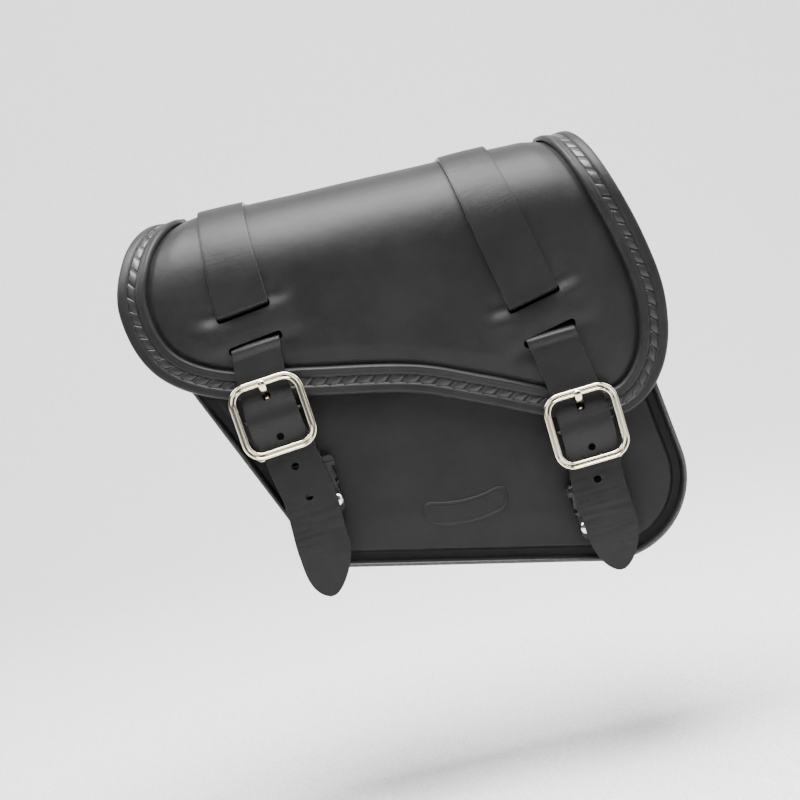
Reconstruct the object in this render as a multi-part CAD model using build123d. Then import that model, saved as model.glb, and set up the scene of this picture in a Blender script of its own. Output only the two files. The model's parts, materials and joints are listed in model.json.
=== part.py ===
"""Motorcycle side bag (saddlebag) in leather, with two decorative buckle straps over hidden clips.

Frame: X runs along the bag towards the rear of the motorcycle, Z is up, and Y points into the
motorcycle. The back face lies in the plane Y = 0 and the bag stands out along -Y. The origin is the
centre of the four mounting eyelets on the back face. All sizes are in millimetres.

Depths from the back face are called "out" here and become -Y. Each closure is drawn in its own
frame, with X across the strap, Z up the strap and the buckle's centre bar at Z = 0.
"""
from build123d import *
import math
import os

# --- Driving dimensions: the bag's body ---
TOP = 105.0                 # height of the flap's top over the origin
BODY_DEPTH = 105.0          # back face to the front panel's outer face
BODY_TOP_DROP = 36.0        # front panel's top edge below the flap's top
TOP_HALF_FRONT = 127.0      # half-width at the top, towards the motorcycle's front
TOP_HALF_REAR = 136.0       # half-width at the top, towards the motorcycle's rear
SHOULDER = (-152.0, -84.0)  # where the front side turns in, as X and drop
HEEL = (-82.0, -244.0)      # lowest front corner
TOE = (176.0, -298.0)       # lowest rear corner
TOE_RADIUS = 53.0
HEEL_RADIUS = 32.0
SHOULDER_RADIUS = 40.0
TOP_RADIUS = 6.0
LEATHER = 3.5               # front, back and flap leather
GUSSET_WALL = 3.0
WELT_WIDTH = 2.5            # binding that stands out round both seams
WELT_DEPTH = 8.0
WELT_PROUD = 2.0            # binding in front of the front panel
SEAM_CLEARANCE = 0.1

# --- Back: stiffener, hinge band and mounting eyelets ---
STIFFENER = 2.0
STIFFENER_INSET = 16.0
STIFFENER_TOP_DROP = 56.0
EYELET_SPACING_X = 150.0
EYELET_SPACING_Z = 70.0
EYELET_BORE_R = 3.25        # clears an M6 bolt
EYELET_BARREL_R = 4.4
EYELET_FLANGE_R = 8.0
EYELET_FLANGE = 1.2
HINGE_DROP = 32.0           # fold line of the flap, below its top
HINGE_GAP = 3.2             # leather-free fold on the flap's side of the line
HINGE_BAND_HEIGHT = 15.0
HINGE_BAND = 2.0

# --- Flap ---
FLAP_GAP = 5.0              # front panel to the flap's lining, room for the strap between
ROOF_FRONT_RADIUS = 50.0
ROOF_BACK_RADIUS = 20.0
FLAP_BACK_HALF = 113.0      # half-width where the flap meets the back
FLAP_TAPER_OUT = 78.0       # depth at which the flap has reached its full width
BORDER_WIDTH = 17.5
BORDER = 2.5                # laced border strip, thickness
EDGE_SAMPLES = 36           # places where the border's inner edge is measured off the outline
FLAP_OUTLINE = (            # outline of the flap's front, X and drop, from front top to rear top
    (-140, 4), (-166, -17), (-175, -52), (-162, -93), (-125, -118), (-67, -129.5), (0, -143),
    (40, -159), (100, -184), (138, -187), (165, -162), (175, -120), (169, -75), (152, -20), (136, 4),
)

# --- Straps ---
STRAP_WIDTH = 35.0
STRAP = 3.5
STRAP_CLEARANCE = 0.3
SLOT_HEIGHT = 5.0
SLOT_MARGIN = 1.0           # slot beyond each edge of the strap
SLOT_STEP = 0.5             # play above and below the strap in its slot
BRIDGE = 22.0               # flap leather between the two slots
HUMP = 4.9                  # the strap's rise over the centre bar
PUNCH_R = 2.5
PUNCH_PITCH = 22.0
PUNCH_FIRST = -14.5
TIP_LENGTH = 24.0
TIP_HALF = 3.5               # half-width of the tip's blunt end
TIP_BULGE = 0.6
STRAP_BACK_OUT = 20.0       # where the strap's rear end lies on the flap, from the back face
STRAP_RIVET_R = 4.0
STRAP_RIVET_HEAD = 1.6

# --- Buckle ---
BUCKLE_BAR = 5.2
BUCKLE_PLAY = 2.8           # frame's side bars to the strap's edges
BUCKLE_WIDTH = STRAP_WIDTH + 2 * (BUCKLE_PLAY + BUCKLE_BAR)
BUCKLE_HEIGHT = 52.0
BUCKLE_THICK = 4.0
BUCKLE_RADIUS = 13.0
LUG_WIDTH = 4.0              # the frame's two lugs that hold the centre bar
LUG_HALF_HEIGHT = 3.0
CENTRE_BAR_R = 1.3
PRONG_CLEARANCE = 0.05
PRONG_EYE_R = 2.35
PRONG_WIDTH = 5.0
PRONG_THICK = 2.4
PRONG_LENGTH = 25.0
WIRE_R = 0.9
WIRE_PLAY = 1.9             # rear loop's sides beyond the strap's edges
WIRE_HALF = STRAP_WIDTH / 2 + WIRE_PLAY
WIRE_DROP = 27.0            # rear loop's low run below the centre bar

# --- Clip ---
CLIP_THICK = 7.4
CLIP_WALL = 1.3
CLIP_CLEARANCE = 0.4        # clip to the strap in front of it
LINK_WIDTH = 14.0
LINK = 1.6
LINK_CLEARANCE = 0.2
PLUG_BAR_R = 1.6
PLUG_BAR_DROP = 6.2         # plug's bar below the wire loop
PLUG_HALF = 19.0
PLUG_BASE = 4.2
THROAT_HALF = 16.6
MOUTH_BRIDGE = 3.0          # side wall at the socket's mouth
PLUG_REACH = 13.0           # how far the plug goes in
ARM_INNER = 9.5
ARM_PIVOT = 14.0
ARM_RELIEF = 1.2             # arm's top falls away inside its pivot, so that it can swing in
ARM_SPREAD = 1.0            # how far an arm stands out beyond the throat
ARM_PLAY = 0.3
TONGUE_HALF = 4.5
SOCKET_LENGTH = 18.0
SOCKET_WAIST = 15.6
SOCKET_CORNER = 8.0
PLUG_CORNER = 3.2
FOOT_LENGTH = 17.0
FOOT = 2.5
RIVET_R = 2.0
RIVET_HEAD_R = 4.5
RIVET_HEAD = 2.4
RIVET_HALF = 12.0
WASHER_R = 4.2
WASHER = 1.2
FOOT_HALF = 16.0            # half-width of the socket's foot and of its leather patch

# --- Places of the two closures: buckle centre X and drop, lean in degrees, clip offset and tail,
#     then the upper slot's middle as X and drop, and the lean of the strap above it ---
CLOSURES = {
    "front": {"x": -93.0, "drop": -137.0, "lean": 5.5, "clip": 9.0, "tail": 126.0, "punched": 3,
              "slot_x": -96.5, "slot_drop": -66.0, "top_lean": 4.0},
    "rear": {"x": 106.0, "drop": -190.0, "lean": 3.5, "clip": -5.0, "tail": 99.5, "punched": 2,
             "slot_x": 90.6, "slot_drop": -101.0, "top_lean": 13.0},
}

# --- Depths that follow from the sizes above, measured out from the back face ---
FLAP_IN = BODY_DEPTH + FLAP_GAP
FLAP_OUT = FLAP_IN + LEATHER
BORDER_OUT = FLAP_OUT + BORDER
STRAP_IN = BORDER_OUT + 0.4
STRAP_OUT = STRAP_IN + STRAP
BUCKLE_IN = STRAP_OUT + STRAP_CLEARANCE
BUCKLE_OUT = BUCKLE_IN + BUCKLE_THICK
BAR_OUT = STRAP_IN + PRONG_EYE_R
CLIP_FACE = STRAP_IN - CLIP_CLEARANCE
CLIP_MID = CLIP_FACE - CLIP_THICK / 2
CLIP_BACK = CLIP_MID - CLIP_THICK / 2
LINK_GAP = PLUG_BAR_R + LINK_CLEARANCE
PLUG_BAR_Z = -WIRE_DROP - PLUG_BAR_DROP
BASE_TOP_Z = PLUG_BAR_Z - LINK_GAP - LINK - 0.3
MOUTH_Z = BASE_TOP_Z - PLUG_BASE
REACH = 400.0               # longer than anything in the bag
HUMP_HALF = BUCKLE_HEIGHT / 2 - BUCKLE_BAR
nodes = {}


def slab(x0, x1, out0, out1, z0, z1):
    """A box between two values of X, of depth from the back face and of Z."""
    box = Box(x1 - x0, out1 - out0, z1 - z0)
    return Pos((x0 + x1) / 2, -(out0 + out1) / 2, (z0 + z1) / 2) * box


def prism(face, out0, out1):
    """A front-view face, drawn as X and Z, carried from one depth to another."""
    upright = Plane((0, -out0, 0), x_dir=(1, 0, 0), z_dir=(0, -1, 0)) * face
    return extrude(upright, out1 - out0)


def side_profile(face, half):
    """A face drawn as depth and Z, carried both ways across X."""
    turned = Plane((0, 0, 0), x_dir=(0, -1, 0), z_dir=(-1, 0, 0)) * face
    return extrude(turned, half, both=True)


# ---------------------------------------------------------------- body
def body_face(grow=0.0):
    """The body's outline with round corners, grown or shrunk by a distance."""
    top = TOP - BODY_TOP_DROP
    corners = [
        (-TOP_HALF_FRONT, top), (SHOULDER[0], TOP + SHOULDER[1]), (HEEL[0], TOP + HEEL[1]),
        (TOE[0], TOP + TOE[1]), (TOP_HALF_REAR, top),
    ]
    radii = (TOP_RADIUS, SHOULDER_RADIUS, HEEL_RADIUS, TOE_RADIUS, TOP_RADIUS)
    face = make_face(Polyline(*corners, close=True))
    for corner, radius in zip(corners, radii):
        nearest = min(face.vertices(), key=lambda v: (v.X - corner[0]) ** 2 + (v.Y - corner[1]) ** 2)
        face = fillet(nearest, radius)
    if grow:
        face = offset(face, grow, kind=Kind.ARC)
    return face


def below(drop, out0=-50.0, out1=200.0):
    """All space lower than a drop below the flap's top."""
    return slab(-REACH, REACH, out0, out1, -REACH, TOP - drop)


def eyelet_places():
    """Centres of the four mounting eyelets."""
    return [(sx * EYELET_SPACING_X / 2, sz * EYELET_SPACING_Z / 2) for sx in (-1, 1) for sz in (-1, 1)]


def bolt(x, z, radius, out0, out1):
    """A round bar along the depth."""
    return Pos(x, -(out0 + out1) / 2, z) * Rot(90, 0, 0) * Cylinder(radius, out1 - out0)


def drill(shape, places, radius):
    """The shape with round holes through it at the given places."""
    for x, z in places:
        shape -= bolt(x, z, radius, -20, 180)
    return shape


def rivet_places(side):
    """Centres of the two rivets of one clip socket, in the closure's frame."""
    middle = CLOSURES[side]["clip"]
    height = MOUTH_Z - SOCKET_LENGTH - FOOT_LENGTH / 2
    return [(middle - RIVET_HALF, height), (middle + RIVET_HALF, height)]


def placed(side, shape):
    """A shape in the closure's frame, leaned and moved to its place on the bag."""
    spot = CLOSURES[side]
    return Pos(spot["x"], 0, TOP + spot["drop"]) * Rot(0, -spot["lean"], 0) * shape


def build_body():
    """The leather box of the bag, open at its top, with its bindings and its back plate."""
    holes = eyelet_places()
    barrel = EYELET_BARREL_R + SEAM_CLEARANCE
    back = prism(body_face(), 0, LEATHER) & below(HINGE_DROP + HINGE_GAP + 0.6)
    nodes["back_panel"] = drill(back, holes, barrel)
    inner = prism(body_face(-STIFFENER_INSET), LEATHER, LEATHER + STIFFENER) & below(STIFFENER_TOP_DROP)
    nodes["back_stiffener"] = drill(inner, holes, barrel)
    band_low = HINGE_DROP + HINGE_GAP + 0.6 + HINGE_BAND_HEIGHT
    nodes["hinge_band"] = slab(-FLAP_BACK_HALF, FLAP_BACK_HALF, LEATHER, LEATHER + HINGE_BAND,
                               TOP - band_low, TOP - HINGE_DROP - HINGE_GAP - 0.6)
    front_in = BODY_DEPTH - LEATHER
    ring = prism(body_face(), LEATHER, front_in) - prism(body_face(-GUSSET_WALL), 0, BODY_DEPTH)
    nodes["gusset"] = ring & below(BODY_TOP_DROP + TOP_RADIUS)
    front = prism(body_face(), front_in, BODY_DEPTH)
    for side in CLOSURES:
        for x, z in rivet_places(side):
            front -= placed(side, bolt(x, z, RIVET_R + SEAM_CLEARANCE, 0, 200))
    nodes["front_panel"] = front
    outer = body_face(WELT_WIDTH + SEAM_CLEARANCE)
    hollow = body_face(SEAM_CLEARANCE)
    low = below(BODY_TOP_DROP + TOP_RADIUS)
    front_end = BODY_DEPTH + WELT_PROUD
    nodes["front_welt"] = (prism(outer, front_end - WELT_DEPTH, front_end) - prism(hollow, 0, 200)) & low
    nodes["rear_welt"] = (prism(outer, 0, WELT_DEPTH) - prism(hollow, -10, 200)) & below(HINGE_DROP + 12)


def build_eyelets():
    """Four metal eyelets that line the mounting holes, flanged inside the bag."""
    inside = LEATHER + STIFFENER
    group = []
    for x, z in eyelet_places():
        eyelet = bolt(x, z, EYELET_BARREL_R, 0, inside + EYELET_FLANGE)
        eyelet += bolt(x, z, EYELET_FLANGE_R, inside, inside + EYELET_FLANGE)
        eyelet -= bolt(x, z, EYELET_BORE_R, -10, 50)
        group.append(eyelet)
    nodes["mount_eyelets"] = Compound(group)


# ---------------------------------------------------------------- flap
def roof(grow):
    """Everything under the flap's outer face, grown outwards by a distance."""
    out0, out1, top = -grow, FLAP_OUT + grow, TOP + grow
    corners = [(out0, -REACH), (out0, top), (out1, top), (out1, -REACH)]
    face = make_face(Polyline(*corners, close=True))
    upper = face.vertices().sort_by(Axis.Y)[-2:].sort_by(Axis.X)
    face = fillet(upper[0], ROOF_BACK_RADIUS + grow)
    upper = face.vertices().sort_by(Axis.Y)[-2:].sort_by(Axis.X)
    face = fillet(upper[-1], ROOF_FRONT_RADIUS + grow)
    return side_profile(face, REACH / 2)


def flap_edge(inset):
    """The flap's front outline, or a smooth line a distance inside it."""
    curve = Spline(*[(x, TOP + drop) for x, drop in FLAP_OUTLINE])
    if not inset:
        return curve
    points = []
    for index in range(EDGE_SAMPLES + 1):
        share = index / EDGE_SAMPLES
        along = curve % share
        points.append(curve @ share + Vector(-along.Y, along.X) * inset)
    return Spline(*points)


def flap_blank(inset):
    """The space inside the flap's cut edge, or a distance inside it."""
    curve = flap_edge(inset)
    above = TOP + 60
    start, end = curve @ 0, curve @ 1
    lid = Polyline((end.X, end.Y), (end.X, above), (start.X, above), (start.X, start.Y))
    front = make_face(Curve() + [curve, lid])
    half, far = 185.0, FLAP_OUT + 40
    narrow = FLAP_BACK_HALF
    taper = [(-half, -far), (half, -far), (half, -FLAP_TAPER_OUT), (narrow, -8), (narrow, 60),
             (-narrow, 60), (-narrow, -8), (-half, -FLAP_TAPER_OUT)]
    plan = make_face(Polyline(*taper, close=True))
    if inset:
        plan = offset(plan, -inset, kind=Kind.INTERSECTION)
    return prism(front, -50, far) & (Pos(0, 0, -REACH) * extrude(plan, 2 * REACH))


def slot_cutter(side, drop):
    """The slot in the flap for one strap, at a drop below the flap's top."""
    spot = CLOSURES[side]
    half = STRAP_WIDTH / 2 + SLOT_MARGIN
    cut = slab(-half, half, FLAP_IN - 8, FLAP_OUT + 8, -SLOT_HEIGHT, 0)
    return Pos(strap_middle(side, drop), 0, TOP + drop) * Rot(0, -spot["top_lean"], 0) * cut


def strap_middle(side, drop):
    """X of the upper strap's middle line at a drop below the flap's top."""
    spot = CLOSURES[side]
    return spot["slot_x"] + (spot["slot_drop"] - drop) * math.tan(math.radians(spot["top_lean"]))


def upper_place(side):
    """The place and lean of one strap at its upper slot."""
    spot = CLOSURES[side]
    drop = spot["slot_drop"]
    return Pos(strap_middle(side, drop), 0, TOP + drop) * Rot(0, -spot["top_lean"], 0)


def front_of_hinge():
    """All space in front of the flap's rear end."""
    return slab(-REACH, REACH, -60, 60, -REACH, TOP - HINGE_DROP + HINGE_GAP)


def build_flap():
    """The flap leather, rolled over the top, and the border strip laced round its edge."""
    cut = front_of_hinge()
    flap = (roof(0) - roof(-LEATHER)) & flap_blank(0)
    flap -= cut
    for side, spot in CLOSURES.items():
        flap -= slot_cutter(side, spot["slot_drop"])
        flap -= slot_cutter(side, spot["slot_drop"] - BRIDGE + SLOT_HEIGHT / 2)
    nodes["flap"] = flap
    strip = (roof(BORDER) - roof(0)) & flap_blank(0)
    strip -= flap_blank(BORDER_WIDTH)
    strip -= slab(-REACH, REACH, -60, ROOF_BACK_RADIUS, -REACH, REACH)
    wide = STRAP_WIDTH / 2 + STRAP_CLEARANCE
    for side, spot in CLOSURES.items():
        strip -= upper_place(side) * slab(-wide, wide, -60, 200, -SLOT_HEIGHT, REACH)
    nodes["flap_border"] = max(strip.solids(), key=lambda piece: piece.volume)


def build_upper_strap(side):
    """The part of one strap that stays on the flap: over the top, in at one slot, out at the next."""
    half = STRAP_WIDTH / 2
    here = upper_place(side)
    over = roof(STRAP_CLEARANCE + STRAP) - roof(STRAP_CLEARANCE)
    over &= here * slab(-half, half, STRAP_BACK_OUT, 200, SLOT_STEP - SLOT_HEIGHT, REACH)
    behind_in = FLAP_IN - STRAP_CLEARANCE - STRAP
    low, high = -BRIDGE - 2, -SLOT_STEP
    inside = slab(-half, half, behind_in, FLAP_IN - STRAP_CLEARANCE, low, high)
    inside += slab(-half, half, behind_in, FLAP_OUT + STRAP_CLEARANCE + STRAP, SLOT_STEP - SLOT_HEIGHT, high)
    inside += slab(-half, half, behind_in, FLAP_OUT - STRAP_CLEARANCE, low, low + STRAP)
    nodes[f"strap_{side}_upper"] = over + here * inside


def build_strap_rivets():
    """Rivets that hold the rear ends of both straps on the flap, heads outside."""
    group = []
    base = FLAP_OUT - ROOF_FRONT_RADIUS - 24
    for side in CLOSURES:
        x = strap_middle(side, 0)
        head = TOP + STRAP_CLEARANCE + STRAP
        group.append(Pos(x, -base, head + STRAP_RIVET_HEAD / 2) * Cylinder(STRAP_RIVET_R, STRAP_RIVET_HEAD))
    nodes["strap_rivets"] = Compound(group)


# ---------------------------------------------------------------- closure: strap and buckle
def strap_edge(out):
    """One face of the lower strap as a line of depth and Z, arched over the centre bar."""
    return [Line((out, REACH / 2), (out, HUMP_HALF)),
            Spline((out, HUMP_HALF), (out + HUMP, 0), (out, -HUMP_HALF), tangents=((0, -1), (0, -1))),
            Line((out, -HUMP_HALF), (out, -REACH / 2))]


def tail_face(side):
    """The lower strap's front view: a band that bends towards its slot, with a pointed, rounded tip."""
    spot = CLOSURES[side]
    half = STRAP_WIDTH / 2
    top = spot["slot_drop"] - BRIDGE - SLOT_HEIGHT / 2 - spot["drop"]
    low = -spot["tail"]
    shoulder = low + TIP_LENGTH
    lean = math.radians(spot["lean"])
    exit_drop = spot["slot_drop"] - BRIDGE
    aside = (strap_middle(side, exit_drop) - spot["x"]) * math.cos(lean)
    aside += (exit_drop - spot["drop"]) * math.sin(lean)
    bend = BUCKLE_HEIGHT / 2
    left = ThreePointArc((-TIP_HALF, low), (-half * 0.80, low + TIP_LENGTH * 0.42), (-half, shoulder))
    right = ThreePointArc((TIP_HALF, low), (half * 0.80, low + TIP_LENGTH * 0.42), (half, shoulder))
    sides = Polyline((-half, shoulder), (-half, bend), (aside - half, top), (aside + half, top),
                     (half, bend), (half, shoulder))
    bottom = ThreePointArc((-TIP_HALF, low), (0, low - TIP_BULGE), (TIP_HALF, low))
    return make_face(Curve() + [left, sides, right, bottom])


def build_lower_strap(side):
    """The free part of one strap, from under the flap's slot to the tip, punched for the prong."""
    inner, outer = strap_edge(STRAP_IN), strap_edge(STRAP_OUT)
    far = REACH / 2
    ends = [Line((STRAP_IN, far), (STRAP_OUT, far)), Line((STRAP_IN, -far), (STRAP_OUT, -far))]
    strap = side_profile(make_face(Curve() + inner + outer + ends), 60) & prism(tail_face(side), 0, 200)
    for index in range(CLOSURES[side]["punched"]):
        strap -= bolt(0, PUNCH_FIRST - index * PUNCH_PITCH, PUNCH_R, 0, 200)
    half = PRONG_WIDTH / 2 + 0.4
    strap -= slab(-half, half, STRAP_IN - 5, BUCKLE_OUT + 5, -1.0, BUCKLE_HEIGHT / 2 - BUCKLE_BAR - 1.5)
    nodes[f"strap_{side}_lower"] = placed(side, strap)


def build_buckle(side):
    """The buckle frame with its centre bar behind the strap and its wire loop at the rear."""
    outer = RectangleRounded(BUCKLE_WIDTH, BUCKLE_HEIGHT, BUCKLE_RADIUS)
    inner = RectangleRounded(BUCKLE_WIDTH - 2 * BUCKLE_BAR, BUCKLE_HEIGHT - 2 * BUCKLE_BAR,
                             BUCKLE_RADIUS - BUCKLE_BAR)
    frame = prism(outer - inner, BUCKLE_IN, BUCKLE_OUT)
    frame = chamfer(frame.edges().group_by(Axis.Y)[0], 0.8)
    window = BUCKLE_WIDTH / 2 - BUCKLE_BAR
    for sign in (-1, 1):
        lug = sorted((sign * window, sign * (window + LUG_WIDTH)))
        frame += slab(lug[0], lug[1], STRAP_IN, BUCKLE_IN, -LUG_HALF_HEIGHT, LUG_HALF_HEIGHT)
    frame += Pos(0, -BAR_OUT, 0) * Rot(0, 90, 0) * Cylinder(CENTRE_BAR_R, 2 * window + 1)
    nodes[f"buckle_frame_{side}"] = placed(side, frame + wire_loop())


def wire_loop():
    """The thin loop behind the strap tail, from the frame's lower corners, that carries the link."""
    start = BUCKLE_HEIGHT / 2 - BUCKLE_BAR - 1.5
    begin, end = -(BUCKLE_IN + 1.0), -CLIP_MID
    route = [(-WIRE_HALF, begin, -start), (-WIRE_HALF, end, -WIRE_DROP), (WIRE_HALF, end, -WIRE_DROP),
             (WIRE_HALF, begin, -start)]
    path = FilletPolyline(*route, radius=2.5)
    section = Plane(origin=path @ 0, z_dir=path % 0) * Circle(WIRE_R)
    return sweep(section, path)


def build_prong(side):
    """The prong on the centre bar, its tip on the frame's top bar."""
    rise = BUCKLE_OUT + PRONG_THICK / 2 + PRONG_CLEARANCE - BAR_OUT
    run = BUCKLE_HEIGHT / 2 - BUCKLE_BAR - 1.0
    half, thick = PRONG_WIDTH / 2, PRONG_THICK / 2
    lean = math.degrees(math.atan2(rise, run))
    prong = Rot(lean, 0, 0) * slab(-half, half, -thick, thick, 0, math.hypot(rise, run))
    tip = slab(-half, half, rise - thick, rise + thick, run, PRONG_LENGTH)
    prong += fillet(tip.edges().filter_by(Axis.Y).group_by(Axis.Z)[-1], 1.5)
    prong += Pos(0, -rise, run) * Rot(0, 90, 0) * Cylinder(thick, PRONG_WIDTH)
    prong += Rot(0, 90, 0) * Cylinder(PRONG_EYE_R, PRONG_WIDTH)
    prong -= Rot(0, 90, 0) * Cylinder(CENTRE_BAR_R + PRONG_CLEARANCE, PRONG_WIDTH * 2)
    nodes[f"prong_{side}"] = placed(side, Pos(0, -BAR_OUT, 0) * prong)


# ---------------------------------------------------------------- closure: clip
def in_clip(side, shape):
    """A shape drawn about the clip's middle line, moved beside the strap's line and placed."""
    return placed(side, Pos(CLOSURES[side]["clip"], 0, 0) * shape)


def race(half, low, high):
    """A long round-ended face of depth and Z about the clip's middle."""
    long = high - low + 2 * half
    return Pos(CLIP_MID, (low + high) / 2) * SlotOverall(long, 2 * half, rotation=90)


def build_link(side):
    """The leather link that joins the buckle's wire loop to the plug."""
    loop = race(LINK_GAP + LINK, PLUG_BAR_Z, -WIRE_DROP) - race(LINK_GAP, PLUG_BAR_Z, -WIRE_DROP)
    nodes[f"clip_link_{side}"] = in_clip(side, side_profile(loop, LINK_WIDTH / 2))


def build_plug(side):
    """The plug: a bar for the link, a base and a guide tongue."""
    ear = LINK_WIDTH / 2 + 0.6
    plug = Pos(0, -CLIP_MID, PLUG_BAR_Z) * Rot(0, 90, 0) * Cylinder(PLUG_BAR_R, 2 * ear + 4)
    for sign in (-1, 1):
        side_ear = sorted((sign * ear, sign * (ear + 4)))
        plug += slab(side_ear[0], side_ear[1], CLIP_MID - 2.6, CLIP_MID + 2.6, BASE_TOP_Z, PLUG_BAR_Z + 2)
    thick = CLIP_THICK / 2 - 0.2
    base = slab(-PLUG_HALF, PLUG_HALF, CLIP_MID - thick, CLIP_MID + thick, MOUTH_Z + 0.4, BASE_TOP_Z)
    plug += fillet(base.edges().filter_by(Axis.Y).group_by(Axis.Z)[-1], PLUG_CORNER)
    inside = CLIP_THICK / 2 - CLIP_WALL - 0.3
    plug += slab(-TONGUE_HALF, TONGUE_HALF, CLIP_MID - inside, CLIP_MID + inside,
                 MOUTH_Z - PLUG_REACH, MOUTH_Z + 0.4)
    nodes[f"clip_plug_{side}"] = in_clip(side, plug)


def build_arms(side):
    """The plug's two spring arms, which the thumb and finger press in."""
    inside = CLIP_THICK / 2 - CLIP_WALL - 0.3
    narrow = THROAT_HALF - ARM_PLAY
    top = MOUTH_Z + 0.1
    knee = MOUTH_Z - MOUTH_BRIDGE
    low = MOUTH_Z - PLUG_REACH
    for sign, name in ((-1, "left"), (1, "right")):
        points = [(ARM_INNER, top - ARM_RELIEF), (ARM_PIVOT, top), (narrow, top), (narrow, knee),
                  (narrow + ARM_SPREAD, low + 2), (narrow - 1.0, low), (ARM_INNER + 2, low),
                  (ARM_INNER + 1, knee - 3)]
        face = make_face(Polyline(*[(sign * x, z) for x, z in points], close=True))
        arm = prism(face, CLIP_MID - inside, CLIP_MID + inside)
        nodes[f"clip_arm_{side}_{name}"] = in_clip(side, arm)


def build_socket(side):
    """The socket riveted on the front panel, waisted where the arms stand out."""
    low = MOUTH_Z - SOCKET_LENGTH
    shell = slab(-PLUG_HALF, PLUG_HALF, CLIP_BACK, CLIP_FACE, low, MOUTH_Z)
    shell = fillet(shell.edges().filter_by(Axis.Y).group_by(Axis.Z)[0], SOCKET_CORNER)
    half_in = CLIP_THICK / 2 - CLIP_WALL
    floor = MOUTH_Z - PLUG_REACH - 1.2
    shell -= slab(-THROAT_HALF, THROAT_HALF, CLIP_MID - half_in, CLIP_MID + half_in, floor, MOUTH_Z + 1)
    for sign in (-1, 1):
        waist = sorted((sign * SOCKET_WAIST, sign * 30))
        shell -= slab(waist[0], waist[1], 0, 200, floor, MOUTH_Z - MOUTH_BRIDGE)
    foot = slab(-FOOT_HALF, FOOT_HALF, CLIP_BACK, CLIP_BACK + FOOT, low - FOOT_LENGTH, low + 5)
    foot = fillet(foot.edges().filter_by(Axis.Y).group_by(Axis.Z)[0], 5)
    socket = Pos(CLOSURES[side]["clip"], 0, 0) * (shell + foot)
    for x, z in rivet_places(side):
        socket -= bolt(x, z, RIVET_R + SEAM_CLEARANCE, 0, 200)
    nodes[f"clip_socket_{side}"] = placed(side, socket)


def build_tab(side):
    """The leather patch between the socket and the front panel."""
    low = MOUTH_Z - SOCKET_LENGTH - FOOT_LENGTH
    patch = slab(-FOOT_HALF, FOOT_HALF, BODY_DEPTH, CLIP_BACK, low - 1.5, MOUTH_Z - 1)
    patch = fillet(patch.edges().filter_by(Axis.Y), 5)
    patch = Pos(CLOSURES[side]["clip"], 0, 0) * patch
    for x, z in rivet_places(side):
        patch -= bolt(x, z, RIVET_R + SEAM_CLEARANCE, 0, 200)
    nodes[f"anchor_tab_{side}"] = placed(side, patch)


def build_rivets():
    """The four socket rivets with their domed heads, and the washers inside the bag."""
    rivets, washers = [], []
    seat = CLIP_BACK + FOOT
    inside = BODY_DEPTH - LEATHER
    for side in CLOSURES:
        for x, z in rivet_places(side):
            shank = bolt(x, z, RIVET_R, inside - WASHER, seat)
            radius = (RIVET_HEAD_R ** 2 + RIVET_HEAD ** 2) / (2 * RIVET_HEAD)
            ball = Pos(x, -(seat + RIVET_HEAD - radius), z) * Sphere(radius)
            head = ball & bolt(x, z, RIVET_HEAD_R + 1, seat, seat + 10)
            rivets.append(placed(side, shank + head))
            washer = bolt(x, z, WASHER_R, inside - WASHER, inside)
            washers.append(placed(side, washer - bolt(x, z, RIVET_R + SEAM_CLEARANCE, 0, 200)))
    nodes["socket_rivets"] = Compound(rivets)
    nodes["socket_washers"] = Compound(washers)


def build_closure(side):
    """All the pieces of one closure."""
    build_upper_strap(side)
    build_lower_strap(side)
    build_buckle(side)
    build_prong(side)
    build_link(side)
    build_plug(side)
    build_arms(side)
    build_socket(side)
    build_tab(side)


build_body()
build_eyelets()
build_flap()
build_strap_rivets()
for closure in CLOSURES:
    build_closure(closure)
build_rivets()

os.makedirs("parts", exist_ok=True)
for name, shape in nodes.items():
    export_step(shape, f"parts/{name}.step")
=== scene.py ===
"""Looks of a black leather motorcycle side bag: laced flap, woven buckle straps and hidden clips.

Everything is in metres in the frame's own axes: X towards the motorcycle's rear, Y into the
motorcycle, Z up. A depth out from the back face is called "out" and lies along -Y.
"""

import json
import logging
import math
from dataclasses import dataclass, field
from enum import Enum
from typing import Callable, Iterable, Optional, Sequence

import bpy
from bpy.types import Material, Object, ShaderNode, ShaderNodeTree
from mathutils import Matrix, Vector, noise
from mathutils.geometry import interpolate_bezier
from mathutils.kdtree import KDTree


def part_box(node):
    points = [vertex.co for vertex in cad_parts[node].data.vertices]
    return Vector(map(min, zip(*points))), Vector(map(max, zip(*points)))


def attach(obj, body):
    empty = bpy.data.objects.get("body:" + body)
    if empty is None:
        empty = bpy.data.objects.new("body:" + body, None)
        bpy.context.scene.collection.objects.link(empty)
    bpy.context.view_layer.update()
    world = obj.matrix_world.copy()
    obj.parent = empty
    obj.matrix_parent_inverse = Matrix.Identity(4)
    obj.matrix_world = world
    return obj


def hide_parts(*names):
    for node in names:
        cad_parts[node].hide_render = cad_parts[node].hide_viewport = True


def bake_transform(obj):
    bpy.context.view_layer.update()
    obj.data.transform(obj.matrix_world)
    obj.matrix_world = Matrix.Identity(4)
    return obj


LOG = logging.getLogger("side_bag")
MM = 0.001

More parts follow.
